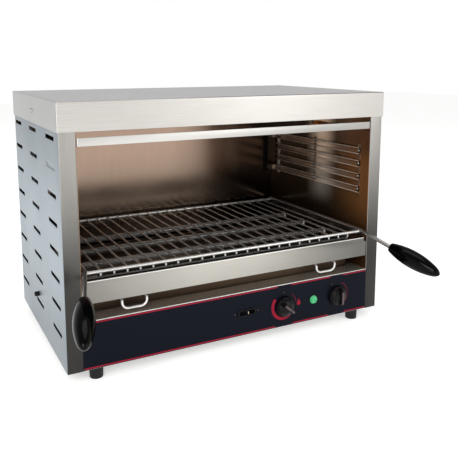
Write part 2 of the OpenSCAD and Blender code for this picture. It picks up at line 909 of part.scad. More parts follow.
module handle_rod() {
    color(chrome) union() {
        at_bend() rotate([-90, 0, 0]) translate([0, 0, -bend_overlap])
            cylinder(h = rack_rear_y + rod_overhang - rod_front_y + bend_overlap, d = rod_d);
        at_bend() translate([handle_bend_r, 0, 0]) rotate([0, 0, 180])
            rotate_extrude(angle = handle_bend) translate([handle_bend_r, 0]) circle(d = rod_d + bend_swell);
        along_handle() translate([0, 0, -bend_overlap])
            cylinder(h = handle_rod_l + grip_socket + bend_overlap, d = rod_d);
    }
}

module left_handle_rod() {
    mirror([1, 0, 0]) handle_rod();
}

module right_handle_rod() {
    handle_rod();
}

// Half outline of a grip: one long arc from the collar to the tip, which is a ball
module grip_outline() {
    body_l = grip_l - grip_tip_r;
    sagitta = (grip_d - grip_collar_d) / 2;
    belly_r = (pow(body_l / 2, 2) + pow(sagitta, 2)) / (2 * sagitta);
    intersection() {
        translate([grip_d / 2 - belly_r, body_l / 2]) circle(r = belly_r, $fn = 360);
        square([grip_d / 2, body_l]);
    }
    intersection() {
        translate([0, body_l]) circle(r = grip_tip_r);
        square([grip_tip_r, grip_l]);
    }
}

module grip() {
    color(black) along_handle() translate([0, 0, handle_rod_l]) difference() {
        rotate_extrude() grip_outline();
        translate([0, 0, -cut]) cylinder(h = grip_socket + cut, d = rod_d);
    }
}

module left_grip() {
    mirror([1, 0, 0]) grip();
}

module right_grip() {
    grip();
}

// ---------------------------------------------------------------- crumb tray

module crumb_tray() {
    color(steel) difference() {
        block([-tray_hx, tray_y0, tray_z], [tray_hx, tray_y1, tray_z + tray_h]);
        block([-tray_hx + tray_t, tray_y0 + tray_t, tray_z + tray_t],
            [tray_hx - tray_t, tray_y1 - tray_t, tray_z + tray_h + cut]);
    }
}

// A quarter turn of the loops' wire, in the XY plane from +X to +Y
module wire_bend(r) {
    rotate_extrude(angle = 90) translate([r, 0]) circle(d = loop_wire_d);
}

// A U of wire: two legs run forward from the tray's rim and turn down to round corners and a lower bar.
// A corner leaves a straight stretch below the turn.
module tray_loop() {
    leg_x = loop_w / 2 - loop_wire_d / 2;
    corner_r = min(loop_r, leg_x - loop_straight, loop_top_z - loop_low_z - loop_bend_r - loop_straight);
    bend_y = loop_y + loop_bend_r;
    for (side = [-1, 1]) {
        rod_y([side * leg_x, bend_y, loop_top_z], tray_y0 - bend_y, loop_wire_d);
        translate([side * leg_x, bend_y, loop_top_z - loop_bend_r]) rotate([90, 0, -90]) wire_bend(loop_bend_r);
        translate([side * leg_x, loop_y, loop_low_z + corner_r])
            cylinder(h = loop_top_z - loop_bend_r - loop_low_z - corner_r, d = loop_wire_d);
        translate([side * (leg_x - corner_r), loop_y, loop_low_z + corner_r])
            rotate([90, 0, 0]) rotate([0, 0, side > 0 ? -90 : 180]) wire_bend(corner_r);
    }
    rod_along_x([-leg_x + corner_r, loop_y, loop_low_z], 2 * (leg_x - corner_r), loop_wire_d);
}

module tray_loops() {
    color(chrome) for (side = [-1, 1]) translate([side * loop_x, 0, 0]) tray_loop();
}

// ---------------------------------------------------------------- controls

// A knob about its own axis: z = 0 is its back, and the bar points along +X
module knob() {
    dome_r = knob_d * 0.62;
    dome_h = knob_h - knob_bar_rise;
    difference() {
        union() {
            cylinder(h = knob_skirt_h, d1 = knob_d, d2 = knob_d - knob_taper);
            rotate_extrude() intersection() {
                square([knob_d / 2 - knob_taper, dome_h]);
                translate([0, dome_h - dome_r]) circle(r = dome_r, $fn = 96);
            }
            intersection() {
                cylinder(h = knob_h, d1 = knob_d - 2, d2 = knob_d - 2 - 2 * knob_bar_taper);
                translate([-knob_d / 2, -knob_bar_w / 2, 0]) cube([knob_d, knob_bar_w, knob_h]);
            }
        }
        translate([0, 0, -cut]) cylinder(h = spindle_in + cut, d = spindle_d);
        translate([0, 0, -cut]) cylinder(h = knob_hollow_h + cut, d = knob_d - 2 * knob_rim_w);
    }
}

// Turns children's +Z to face the user at a control's axis, with +X turned to the pointer's angle
module on_fascia(x, z, pointer) {
    translate([x, knob_back, z]) rotate([90, 0, 0]) rotate([0, 0, pointer]) children();
}

module spindle(x, depth) {
    color(steel)
        rod_y([x, knob_back - spindle_in, knob_z], spindle_in + casing_front - knob_back + depth, spindle_d);
}

// The box of a control behind the fascia, with a boss that carries the spindle
module control_box(x, size) {
    difference() {
        union() {
            block([x - size.x / 2, fascia_back, knob_z - size.z / 2],
                [x + size.x / 2, fascia_back + size.y, knob_z + size.z / 2]);
            rod_y([x, fascia_front, knob_z], sheet_t + 1, boss_d);
        }
        rod_y([x, fascia_front - cut, knob_z], size.y * 0.6 + cut + 2, spindle_d + 2 * spindle_gap);
        for (side = [-1, 1])
            rod_y([x + side * control_screw_pitch / 2, fascia_back - cut, knob_z], control_screw_l + cut,
                control_screw_d);
    }
}

module thermostat_knob() {
    color(black) on_fascia(thermostat_x, knob_z, thermostat_rest) knob();
}

module thermostat_spindle() {
    spindle(thermostat_x, thermostat_size.y * 0.5);
}

module thermostat_body() {
    color("#c7c2b6") control_box(thermostat_x, thermostat_size);
}

module timer_knob() {
    color(black) on_fascia(timer_x, knob_z, timer_rest) knob();
}

module timer_spindle() {
    spindle(timer_x, timer_size.y * 0.5);
}

module timer_body() {
    color("#c7c2b6") control_box(timer_x, timer_size);
}

// Bulb along the right wall under the ceiling, and its capillary down to the thermostat
module sensing_bulb() {
    entry = [bulb_x, bulb_y, bulb_z];
    clip_r = bulb_d / 2 + bulb_clip_t;
    thermostat_back = fascia_back + thermostat_size.y;
    color("#b07a4a") union() {
        rod_y(entry, bulb_l, bulb_d);
        wire_run([entry, [gap_x, bulb_y, bulb_z], [gap_x, bulb_y, capillary_z],
            [thermostat_x, bulb_y, capillary_z], [thermostat_x, thermostat_back, capillary_z]], capillary_d);
    }
    color(steel) for (clip = bulb_clips) difference() {
        block([bulb_x - clip_r, bulb_y + clip, bulb_z - clip_r],
            [chamber_hx, bulb_y + clip + bulb_clip_w, bulb_z + clip_r]);
        rod_y([bulb_x, bulb_y + clip - cut, bulb_z], bulb_clip_w + 2 * cut, bulb_d);
    }
}

module lamp_lens() {
    color(green) translate([lamp_x, casing_front, lamp_z]) rotate([90, 0, 0]) rotate_extrude() union() {
        square([lens_d / 2, lens_flange_t]);
        intersection() {
            translate([0, lens_flange_t]) square([lens_d / 2 - lens_rim, lens_dome_h]);
            translate([0, lens_flange_t + lens_dome_h - lens_d]) circle(r = lens_d, $fn = 96);
        }
    }
}

module lamp_body() {
    color(black) union() {
        rod_y([lamp_x, casing_front, lamp_z], lamp_depth, lens_neck_d);
        rod_y([lamp_x, fascia_back, lamp_z], lamp_nut_t, lens_d + 3);
        for (side = [-1, 1])
            translate([lamp_x + side * lamp_pin_pitch / 2 - lamp_pin.x / 2, casing_front + lamp_depth,
                lamp_z - lamp_pin.z / 2]) cube(lamp_pin);
    }
}

module switch_body() {
    color(black) difference() {
        union() {
            translate([rocker_x, casing_front, rocker_z]) rotate([90, 0, 0])
                linear_extrude(bezel_t) rounded_rect([bezel_w, bezel_h], bezel_r);
            block([rocker_x - switch_w / 2, casing_front, rocker_z - switch_h / 2],
                [rocker_x + switch_w / 2, casing_front + switch_depth, rocker_z + switch_h / 2]);
        }
        block([rocker_x - rocker_well_w / 2, casing_front - bezel_t - cut, rocker_z - rocker_well_h / 2],
            [rocker_x + rocker_well_w / 2, casing_front + rocker_well_depth, rocker_z + rocker_well_h / 2]);
        translate([rocker_x, rocker_axis_y, rocker_z - rocker_well_h / 2 - 1])
            cylinder(h = rocker_well_h + 2, d = rocker_pin_d + 2 * spindle_gap);
    }
}

// The rocker seen from above: a flat wedge about its pin, tilted to one side at rest
module rocker_button() {
    half_w = rocker_well_w / 2 - 2 * rocker_gap;
    half_h = rocker_well_h / 2 - rocker_gap;
    rim = -2.6;
    waist = -1.8;
    shoulder = [half_w - 1.4, 2];
    keel = 4.4;
    color("#202020") translate([rocker_x, rocker_axis_y, rocker_z]) rotate([0, 0, rocker_tilt]) union() {
        translate([0, 0, -half_h]) linear_extrude(2 * half_h)
            polygon([[-half_w, rim], [0, waist], [half_w, rim], shoulder, [0, keel],
                [-shoulder.x, shoulder.y]]);
        translate([0, 0, -rocker_well_h / 2 - rocker_pin_in])
            cylinder(h = rocker_well_h + 2 * rocker_pin_in, d = rocker_pin_d);
    }
}

// ---------------------------------------------------------------- electrics

module terminal_block() {
    color("#e8e4d8") translate([gland_x - terminal_left, casing_rear - terminal_ahead, base_top])
        difference() {
            cube(terminal_size);
            for (i = [0 : terminal_ways - 1]) translate([terminal_edge + i * terminal_pitch, 0, 0]) {
                translate([0, terminal_size.y / 2, terminal_screw_z])
                    cylinder(h = terminal_size.z - terminal_screw_z + cut, d = terminal_screw_d);
                rod_y([0, -cut, terminal_wire_z], terminal_size.y + 2 * cut, terminal_wire_d);
            }
        }
}

module cable_gland() {
    end_y = back(cover_d + gland_out);
    nut_l = (end_y - rear_face) * gland_nut_share;
    color(black) difference() {
        union() {
            rod_y([gland_x, casing_rear - gland_in, gland_z], gland_in + nut_l, gland_thread_d);
            translate([gland_x, rear_face, gland_z]) rotate([-90, 0, 0])
                cylinder(h = nut_l, d = gland_nut_d, $fn = 6);
            translate([gland_x, casing_rear - gland_nut_in, gland_z]) rotate([-90, 0, 0])
                cylinder(h = gland_nut_in, d = gland_nut_d, $fn = 6);
            translate([gland_x, rear_face + nut_l, gland_z]) rotate([-90, 0, 0])
                cylinder(h = end_y - rear_face - nut_l, d1 = gland_dome[0], d2 = gland_dome[1]);
        }
        rod_y([gland_x, casing_rear - gland_in - cut, gland_z], end_y - casing_rear + gland_in + 2 * cut,
            gland_bore);
    }
}

// A loom along the base, a feed from the terminal block, risers to the tubes and a branch to each control
module wiring_harness() {
    loom_y = middle_y - loom_ahead;
    loom_z = base_top + loom_rise;
    ends = [
        [timer_x, fascia_back + timer_size.y, knob_z - timer_lead_drop],
        [thermostat_x, fascia_back + thermostat_size.y, knob_z - thermostat_lead_drop],
        [lamp_x + lamp_pin_pitch / 2, casing_front + lamp_depth + lamp_pin.y, lamp_z],
        [rocker_x, casing_front + switch_depth, rocker_z]];
    color("#3a3a3c") union() {
        rod_along_x([-gap_x, loom_y, loom_z], 2 * gap_x, loom_d);
        rod_y([gland_x - feed_left, loom_y, loom_z], casing_rear - terminal_ahead - loom_y, feed_d);
        for (side = [-1, 1])
            rod([side * gap_x, loom_y, loom_z], [side * gap_x, loom_y, upper_tube_z], branch_d);
        for (end = ends) wire_run([[end.x, loom_y, loom_z], [end.x, loom_y, end.z], end], branch_d);
    }
}

// ---------------------------------------------------------------- small parts

module feet() {
    color(black) for (x = foot_xs, y = foot_ys) translate([x, y, 0]) difference() {
        rotate_extrude() union() {
            square([foot_d / 2 - 1, foot_h]);
            translate([0, 1]) square([foot_d / 2, foot_h - 1]);
            translate([foot_d / 2 - 1, 1]) intersection() {
                circle(r = 1);
                translate([0, -1]) square(1);
            }
        }
        translate([0, 0, foot_h / 2]) cylinder(h = foot_h, d = stud_d);
    }
}

module foot_studs() {
    color(steel) for (x = foot_xs, y = foot_ys) translate([x, y, 0]) union() {
        translate([0, 0, foot_h / 2]) cylinder(h = foot_h / 2 + sheet_t + stud_over, d = stud_d);
        translate([0, 0, base_top]) cylinder(h = nut_h, d = nut_d, $fn = 6);
    }
}

module cover_screws() {
    color(chrome) both_sides() translate([cover_w / 2, middle_y, cover_screw_z]) rotate([0, 90, 0])
        pan_screw(screw_l);
}

module rear_screws() {
    color(chrome) for (x = [-rear_screw_x, rear_screw_x], z = rear_screw_zs)
        translate([x, rear_face, z]) rotate([-90, 0, 0]) pan_screw(screw_l);
}

// Screws through the guards' end tabs and the chamber walls
module guard_screws() {
    inner = guard_hx - guard_t;
    color(chrome) both_sides()
        for (z = guard_screw_zs)
            translate([inner, guard_screw_y, z]) rotate([0, -90, 0]) pan_screw(column_in - inner);
}

module control_screws() {
    color(chrome) for (x = [timer_x, thermostat_x], side = [-1, 1])
        translate([x + side * control_screw_pitch / 2, fascia_front, knob_z]) rotate([90, 0, 0]) union() {
            translate([0, 0, -control_screw_l]) cylinder(h = control_screw_l, d = control_screw_d);
            cylinder(h = knob_gap + overlay_t - control_head_gap, d = control_head_d);
        }
}

module side_pegs() {
    color(black) both_sides() union() {
        rod_along_x([casing_hx, peg_y, peg_z], peg_out, peg_d);
        rod_along_x([casing_hx - sheet_t - peg_in, peg_y, peg_z], peg_in + sheet_t, screw_d);
    }
}

// Plates inside the side panels, behind the front slot of the second row
module slot_backing_plates() {
    color(steel) both_sides()
        block([casing_hx - sheet_t - plate_t, slot_ys[0] - slot_l / 2 - plate_over, slot_zs[1] - slot_h],
            [casing_hx - sheet_t, slot_ys[0] + slot_l / 2 + plate_over, slot_zs[1] + slot_h]);
}

top_cover();
left_side_panel();
right_side_panel();
rear_panel();
base_plate();
chamber_left_wall();
chamber_right_wall();
chamber_back_wall();
chamber_floor();
ceiling_reflector();
roof_insulation();
control_fascia();
fascia_overlay();
upper_guard_bar();
lower_guard_rail();
left_rack_runner();
right_rack_runner();
left_side_guide();
right_side_guide();
guide_end_brackets();
upper_quartz_tubes();
lower_quartz_tubes();
heating_coils();
upper_tube_caps();
lower_tube_caps();
tube_retainers();
rack_grid();
left_handle_rod();
right_handle_rod();
left_grip();
right_grip();
crumb_tray();
tray_loops();
thermostat_knob();
thermostat_spindle();
thermostat_body();
sensing_bulb();
timer_knob();
timer_spindle();
timer_body();
lamp_lens();
lamp_body();
switch_body();
rocker_button();
terminal_block();
cable_gland();
wiring_harness();
feet();
foot_studs();
cover_screws();
rear_screws();
guard_screws();
control_screws();
side_pegs();
slot_backing_plates();
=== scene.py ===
"""Looks of a countertop cheese melter, built around its packed construction.

The construction gives each piece its place and size, and this file gives each its finish and replaces
the plain ones by finer meshes. X runs to the right, Y to the back and Z up. Meshes are worked out in
millimetres and written in metres.
"""

from __future__ import annotations

import json
import logging
import math
from collections.abc import Sequence
from dataclasses import dataclass, field
from enum import Enum
from typing import Any

import bmesh
import bpy
import numpy as np
from numpy.typing import NDArray
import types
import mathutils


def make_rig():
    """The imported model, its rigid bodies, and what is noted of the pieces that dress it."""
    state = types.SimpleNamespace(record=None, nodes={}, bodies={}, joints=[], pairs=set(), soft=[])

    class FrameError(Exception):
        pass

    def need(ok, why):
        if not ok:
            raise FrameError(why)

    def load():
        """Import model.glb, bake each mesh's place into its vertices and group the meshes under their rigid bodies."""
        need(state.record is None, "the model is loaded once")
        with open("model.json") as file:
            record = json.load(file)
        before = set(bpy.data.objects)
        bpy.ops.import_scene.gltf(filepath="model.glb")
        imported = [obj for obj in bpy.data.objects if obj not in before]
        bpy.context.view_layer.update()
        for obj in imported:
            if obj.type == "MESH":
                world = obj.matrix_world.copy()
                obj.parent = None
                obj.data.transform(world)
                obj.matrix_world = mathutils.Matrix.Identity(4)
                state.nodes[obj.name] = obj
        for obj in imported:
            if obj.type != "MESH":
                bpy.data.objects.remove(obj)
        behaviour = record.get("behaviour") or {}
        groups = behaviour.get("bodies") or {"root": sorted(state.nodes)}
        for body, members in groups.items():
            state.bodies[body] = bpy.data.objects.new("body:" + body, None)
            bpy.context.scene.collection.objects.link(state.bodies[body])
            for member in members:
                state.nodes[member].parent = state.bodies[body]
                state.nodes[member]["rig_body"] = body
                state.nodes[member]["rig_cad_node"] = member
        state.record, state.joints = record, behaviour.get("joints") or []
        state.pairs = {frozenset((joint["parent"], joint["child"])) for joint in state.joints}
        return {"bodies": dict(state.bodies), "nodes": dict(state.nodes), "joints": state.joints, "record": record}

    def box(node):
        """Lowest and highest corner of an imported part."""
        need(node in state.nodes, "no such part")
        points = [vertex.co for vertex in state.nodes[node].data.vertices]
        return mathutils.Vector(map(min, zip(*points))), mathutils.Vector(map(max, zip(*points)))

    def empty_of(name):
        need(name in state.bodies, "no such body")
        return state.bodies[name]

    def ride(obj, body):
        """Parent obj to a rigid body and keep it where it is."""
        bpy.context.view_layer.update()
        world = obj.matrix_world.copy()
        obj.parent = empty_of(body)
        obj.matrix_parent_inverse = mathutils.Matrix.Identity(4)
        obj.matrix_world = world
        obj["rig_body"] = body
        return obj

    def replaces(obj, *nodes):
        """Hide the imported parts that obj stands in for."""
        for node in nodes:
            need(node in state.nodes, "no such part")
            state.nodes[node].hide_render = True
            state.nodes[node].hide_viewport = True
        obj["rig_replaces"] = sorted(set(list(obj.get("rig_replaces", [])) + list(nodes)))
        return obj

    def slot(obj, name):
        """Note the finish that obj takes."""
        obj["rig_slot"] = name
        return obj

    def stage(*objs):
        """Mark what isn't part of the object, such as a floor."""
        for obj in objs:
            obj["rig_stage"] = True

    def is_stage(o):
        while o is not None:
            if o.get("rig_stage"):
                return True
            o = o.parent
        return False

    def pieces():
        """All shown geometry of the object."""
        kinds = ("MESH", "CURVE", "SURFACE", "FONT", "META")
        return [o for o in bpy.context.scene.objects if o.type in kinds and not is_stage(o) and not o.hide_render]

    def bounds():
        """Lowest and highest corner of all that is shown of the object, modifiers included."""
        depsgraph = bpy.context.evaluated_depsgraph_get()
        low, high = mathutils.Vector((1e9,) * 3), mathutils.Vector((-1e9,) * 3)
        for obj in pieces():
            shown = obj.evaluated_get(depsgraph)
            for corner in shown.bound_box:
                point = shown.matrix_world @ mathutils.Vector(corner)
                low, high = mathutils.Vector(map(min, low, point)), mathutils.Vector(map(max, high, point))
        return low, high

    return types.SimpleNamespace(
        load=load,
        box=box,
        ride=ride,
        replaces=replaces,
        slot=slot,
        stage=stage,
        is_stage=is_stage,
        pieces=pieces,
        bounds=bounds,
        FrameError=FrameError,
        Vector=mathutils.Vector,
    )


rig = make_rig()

Array = NDArray[np.float64]
Vector = Sequence[float]
Pair = tuple[float, float]
Triple = tuple[float, float, float]
MM = 0.001
IMAGE_SIDE = 458
SIZE_FILE = "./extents.json"
LOG = logging.getLogger("cheese_melter")

SIDES = ("left", "right")
DIALS = ("thermostat", "timer")
ARC_STEPS = 6  # parts of a rounded corner
DOME_TURNS = np.radians([15.0, 35.0, 55.0, 75.0, 90.0])  # rings of a bar's domed end
OBLIQUE = (0.31, 0.52, 0.79)  # lies along no straight part of any wire
RUNNING_GAP = 0.05  # between a spindle or rod and the bore around it
DOUBLE_MM = 0.004  # points nearer than this are one
SPECK_MM = 0.002  # edges shorter than this are dropped
EDGE_ANGLE = math.radians(50)  # an edge sharper than this is rounded


class Axis(Enum):
    """An axis of the object, by its place in a vector."""

    X = 0
    Y = 1
    Z = 2

    def spread(self, along: float, across: float) -> tuple[float, ...]:
        """Three factors: along on this axis and across on the two others."""
        return tuple(along if i == self.value else across for i in range(3))

    def vector(self) -> Array:
        """The unit vector of this axis."""
        return np.eye(3)[self.value]


class Body(Enum):
    """What a piece moves with."""

    CASING = "casing"
    RACK = "rack"
    DRAWER = "crumb_drawer"
    THERMOSTAT = "thermostat_dial"
    TIMER = "timer_dial"
    ROCKER = "rocker"


# ---- surfaces


@dataclass(frozen=True)
class Surface:
    """Points and the four-sided faces between them."""

    points: Array
    faces: NDArray[np.int64]


def grid(points: Array, closed: bool = False) -> Surface:
    """Joins neighbours of a grid of points with faces.

    Args:
        points: The grid, rows by columns by three.
        closed: Whether the last column joins the first.

    Returns:
        The surface over the grid.
    """
    rows, columns = points.shape[:2]
    index = np.arange(rows * columns).reshape(rows, columns)
    beside = np.roll(index, -1, axis=1)
    quads = np.stack([index[:-1], beside[:-1], beside[1:], index[1:]], axis=-1)
    return Surface(points.reshape(-1, 3), quads[:, :columns if closed else columns - 1].reshape(-1, 4))


def joined(surfaces: Sequence[Surface]) -> Surface:
    """Several surfaces as one."""
    starts = np.cumsum([0] + [len(s.points) for s in surfaces[:-1]])
    faces = [s.faces + start for s, start in zip(surfaces, starts)]
    return Surface(np.concatenate([s.points for s in surfaces]), np.concatenate(faces))


def moved(surface: Surface, offset: Vector) -> Surface:
    """A surface shifted by a vector."""
    return Surface(surface.points + np.asarray(offset, float), surface.faces)


def mirrored(surface: Surface) -> Surface:
    """A surface reflected from right to left, its faces turned so that they still point outwards."""
    return Surface(surface.points * [-1.0, 1.0, 1.0], surface.faces[:, ::-1])


def both_sides(surface: Surface) -> Surface:
    """A surface on the right and its reflection on the left."""
    return joined([surface, mirrored(surface)])


def on_side(side: str, surface: Surface) -> Surface:
    """A surface made for the right, as it is on a side."""
    return mirrored(surface) if side == "left" else surface


def unit(vectors: Array) -> Array:
    """Vectors divided by their lengths."""
    return vectors / np.maximum(np.linalg.norm(vectors, axis=-1, keepdims=True), 1e-12)


def lengths(line: Array) -> Array:
    """How far along a line each of its points lies."""
    return np.concatenate([[0.0], np.cumsum(np.linalg.norm(np.diff(line, axis=0), axis=1))])


def filleted(corners: Sequence[Vector], radius: float | Vector,
             steps: int = ARC_STEPS) -> Array:
    """Rounds the inner corners of a line.

    Each corner becomes the arc that touches both of its sides: the centre lies on the bisector at
    radius / sin(half the angle), and the arc turns evenly from one touching point to the other.

    Args:
        corners: Points of the line, in two or three dimensions.
        radius: Radius of the arcs, or one for each inner corner.
        steps: Parts of each arc.

    Returns:
        The points of the rounded line.
    """
    line = np.asarray(corners, float)
    before, at, after = line[:-2], line[1:-1], line[2:]
    a, b = unit(before - at), unit(after - at)
    radius = np.broadcast_to(np.asarray(radius, float), len(at))[:, None]
    angle = np.arccos(np.clip((a * b).sum(-1, keepdims=True), -1, 1))
    centre = at + unit(a + b) * radius / np.sin(angle / 2)
    reach = radius / np.tan(angle / 2)
    start, end = (at + a * reach - centre)[:, None], (at + b * reach - centre)[:, None]
    turn = (np.pi - angle)[:, None]
    share = np.linspace(0, 1, steps + 1)[None, :, None]
    arcs = (np.sin((1 - share) * turn) * start + np.sin(share * turn) * end) / np.sin(turn)
    arcs = (arcs + centre[:, None]).reshape(-1, line.shape[1])
    return np.concatenate([line[:1], arcs, line[-1:]])


def circle(radius: float, count: int) -> Array:
    """Points of a circle in two dimensions."""
    turn = np.linspace(0, 2 * np.pi, count, endpoint=False)
    return radius * np.stack([np.cos(turn), np.sin(turn)], axis=-1)


def swept(path: Array, profile: Array, side: Vector, scale: Array | float = 1.0) -> Surface:
    """Carries a closed profile along a path and closes it by a pole at each end.

    At each point of the path, the profile's first axis is the side vector made square to the path and
    its second axis is square to both.

    Args:
        path: Points of the path.
        profile: Points of the closed profile, in two dimensions.
        side: The vector that the profile's first axis leans towards.
        scale: Size of the profile at each point of the path, as a share.

    Returns:
        The closed surface.
    """
    lean = np.asarray(side, float)
    tangent = unit(np.gradient(path, axis=0))
    first = unit(lean - (tangent * lean).sum(-1, keepdims=True) * tangent)
    second = np.cross(tangent, first)
    size = np.broadcast_to(np.asarray(scale, float), len(path))[:, None, None]
    across, up = profile[None, :, :1] * first[:, None], profile[None, :, 1:] * second[:, None]
    rings = path[:, None] + size * (across + up)
    poles = [np.repeat(path[i][None, None], len(profile), axis=1) for i in (0, -1)]
    return grid(np.concatenate([poles[0], rings, poles[1]]), closed=True)


def round_bar(path: Array, diameter: float, count: int = 16, domed: bool = True) -> Surface:
    """A round bar along a path whose first and last parts are straight.

    A domed end is rings at radius * (1 - cos(a)) from the tip with the radius scaled by sin(a).

    Args:
        path: Points of its axis, from tip to tip.
        diameter: Diameter of the bar.
        count: Sides of its section.
        domed: Whether its ends are domes instead of flat cuts.

    Returns:
        The closed surface.
    """
    scale = np.ones(len(path))
    if domed:
        depth = (diameter / 2 * (1 - np.cos(DOME_TURNS)))[:, None]
        start = path[0] + unit(path[1] - path[0]) * depth
        end = path[-1] + unit(path[-2] - path[-1]) * depth[::-1]
        path = np.concatenate([start, path[1:-1], end])
        scale = np.concatenate([np.sin(DOME_TURNS), scale[1:-1], np.sin(DOME_TURNS)[::-1]])
    return swept(path, circle(diameter / 2, count), OBLIQUE, scale)


def turned(outline: Array, base: Vector, axis: Vector, count: int = 48) -> Surface:
    """Turns an outline about an axis.

    Args:
        outline: Rows of radius and height along the axis or, where they change with the angle, an
            array of rows by points around by two.
        base: The point of the axis at height zero.
        axis: Direction of the axis.
        count: Points around.

    Returns:
        The surface, closed where the outline meets the axis.
    """
    line = np.asarray(axis, float) / np.linalg.norm(axis)
    helper = Axis.Z.vector() if abs(line[2]) < 0.9 else Axis.X.vector()
    first = unit(np.cross(helper, line))
    second = np.cross(line, first)
    ring = circle(1.0, count)
    if outline.ndim == 2:
        outline = np.repeat(outline[:, None], count, axis=1)
    spokes = ring[None, :, :1] * first + ring[None, :, 1:] * second
    points = np.asarray(base, float) + outline[..., 1:] * line + outline[..., :1] * spokes
    return grid(points, closed=True)


def rectangle(half: Array, radius: Array, steps: int = ARC_STEPS) -> Array:
    """Rectangles with rounded corners about the origin, anticlockwise from the right-hand side.

    Args:
        half: Half sizes, rows by two.
        radius: Corner radius of each row.
        steps: Parts of each corner's arc.

    Returns:
        Points, rows by points around by two.
    """
    turn = np.arange(4)[:, None] * np.pi / 2 + np.linspace(0, np.pi / 2, steps + 1)
    sign = np.array([[1, 1], [-1, 1], [-1, -1], [1, -1]])
    centre = sign[None] * (half - radius[:, None])[:, None]
    arc = np.stack([np.cos(turn), np.sin(turn)], axis=-1)
    return (centre[:, :, None] + radius[:, None, None, None] * arc[None]).reshape(len(half), -1, 2)


def raised(flat: Array, heights: Array) -> Array:
    """A grid in two dimensions with a height for each of its rows."""
    return np.concatenate([flat, np.broadcast_to(heights[:, None, None], (*flat.shape[:2], 1))], axis=-1)


def boxed(centre: Vector, half: Vector, section: Array, corner: float) -> Surface:
    """Carries a section round a rectangle with rounded corners, in the plane of X and Y.

    Args:
        centre: Centre of the rectangle, at height zero of the section.
        half: Half sizes of the rectangle.
        section: Rows of distance inside the rectangle (one for both axes, or one for each) and height.
            Where the distance reaches the lesser half size, the surface closes to a line.
        corner: Radius of the rectangle's corners.

    Returns:
        The surface.
    """
    inside = np.maximum(np.asarray(half, float) - section[:, :-1], 0)
    radius = np.minimum(np.clip(corner - section[:, 0], 0, None), inside.min(axis=1))
    return grid(raised(rectangle(inside, radius), section[:, -1]) + np.asarray(centre, float), closed=True)


def facing(surface: Surface, origin: Vector) -> Surface:
    """Stands a surface made lying down against the front: its Y becomes Z and its Z points to the user."""
    points = surface.points
    stood = np.stack([points[:, 0], -points[:, 2], points[:, 1]], axis=-1)
    return Surface(stood + np.asarray(origin, float), surface.faces)


def spun(surface: Surface, degrees: float) -> Surface:
    """A surface turned about the axis Z, from X towards Y."""
    cos, sin = math.cos(math.radians(degrees)), math.sin(math.radians(degrees))
    x, y, z = surface.points.T
    return Surface(np.stack([x * cos - y * sin, x * sin + y * cos, z], axis=-1), surface.faces)


def blob(centre: Vector, radii: Vector, around: int = 8) -> Surface:
    """An ellipsoid: a half circle turned about X, stretched by a radius for each axis."""
    turn = np.linspace(0, np.pi, around // 2 + 2)
    outline = np.stack([np.sin(turn), -np.cos(turn)], axis=-1)
    ball = turned(outline, (0, 0, 0), (1, 0, 0), around)
    return Surface(ball.points * np.asarray(radii, float) + np.asarray(centre, float), ball.faces)


def slot_outline(half: Vector, radius: float, steps: int = 4) -> Array:
    """Outline of a slot from the middle of its first corner, with a point amid each straight side."""
    arcs = rectangle(np.array([half], float), np.array([radius]), steps)[0].reshape(4, -1, 2)
    amid = (arcs[:, -1] + np.roll(arcs, -1, axis=0)[:, 0]) / 2
    return np.roll(np.concatenate([arcs, amid[:, None]], axis=1).reshape(-1, 2), -(steps // 2), axis=0)


def hole_outline(radius: float, count: int = 24) -> Array:
    """Outline of a round hole from the middle of its first quarter."""
    return np.roll(circle(radius, count), -(count // 8), axis=0)


def pierced(us: Array, vs: Array, holes: Sequence[tuple[Array, Array]] = (),
            keep: Array | None = None) -> Surface:
    """A flat sheet over a grid of lines, with holes whose rims join the lines around them.

    Args:
        us: Places of the lines across the sheet.
        vs: Places of the lines up the sheet.
        holes: Centre and outline of each hole. It takes the block of cells between the lines nearest
            beyond it, which has as many border points as the outline.
        keep: Which cells between the lines are there; all of them if not given.

    Returns:
        The sheet in the plane of its first two coordinates.
    """
    index = np.arange(len(us) * len(vs)).reshape(len(vs), len(us))
    flat = np.stack(np.meshgrid(us, vs), axis=-1).reshape(-1, 2)
    keep = np.ones((len(vs) - 1, len(us) - 1), bool) if keep is None else keep.copy()
    points, quads = [flat], []
    first = len(flat)
    for centre, outline in holes:
        side = len(outline) // 8
        i, j = np.abs(us - centre[0]).argmin(), np.abs(vs - centre[1]).argmin()
        i0, i1, j0, j1 = i - side, i + side, j - side, j + side
        keep[j0:j1, i0:i1] = False
        border = np.concatenate([index[j1, i0 + 1:i1 + 1][::-1], index[j0 + 1:j1 + 1, i0][::-1],
                                 index[j0, i0:i1], index[j0:j1, i1]])
        rim = first + np.arange(len(outline))
        quads.append(np.stack([border, np.roll(border, -1), np.roll(rim, -1), rim], axis=-1))
        points.append(outline + centre)
        first += len(outline)
    cells = np.stack([index[:-1, :-1], index[:-1, 1:], index[1:, 1:], index[1:, :-1]], axis=-1)
    every = np.pad(np.concatenate(points), ((0, 0), (0, 1)))
    quads = np.concatenate([cells[keep], *quads])
    used, faces = np.unique(quads, return_inverse=True)
    return Surface(every[used], faces.reshape(-1, 4))


def lines_with_blocks(start: float, stop: float, centres: Array, reach: float, side: int = 3) -> Array:
    """Grid lines from start to stop, with evenly spaced ones from -reach to reach about each centre."""
    about = np.linspace(-reach, reach, 2 * side + 1)
    return np.unique(np.round(np.concatenate([[start, stop], (centres[:, None] + about).ravel()]), 6))


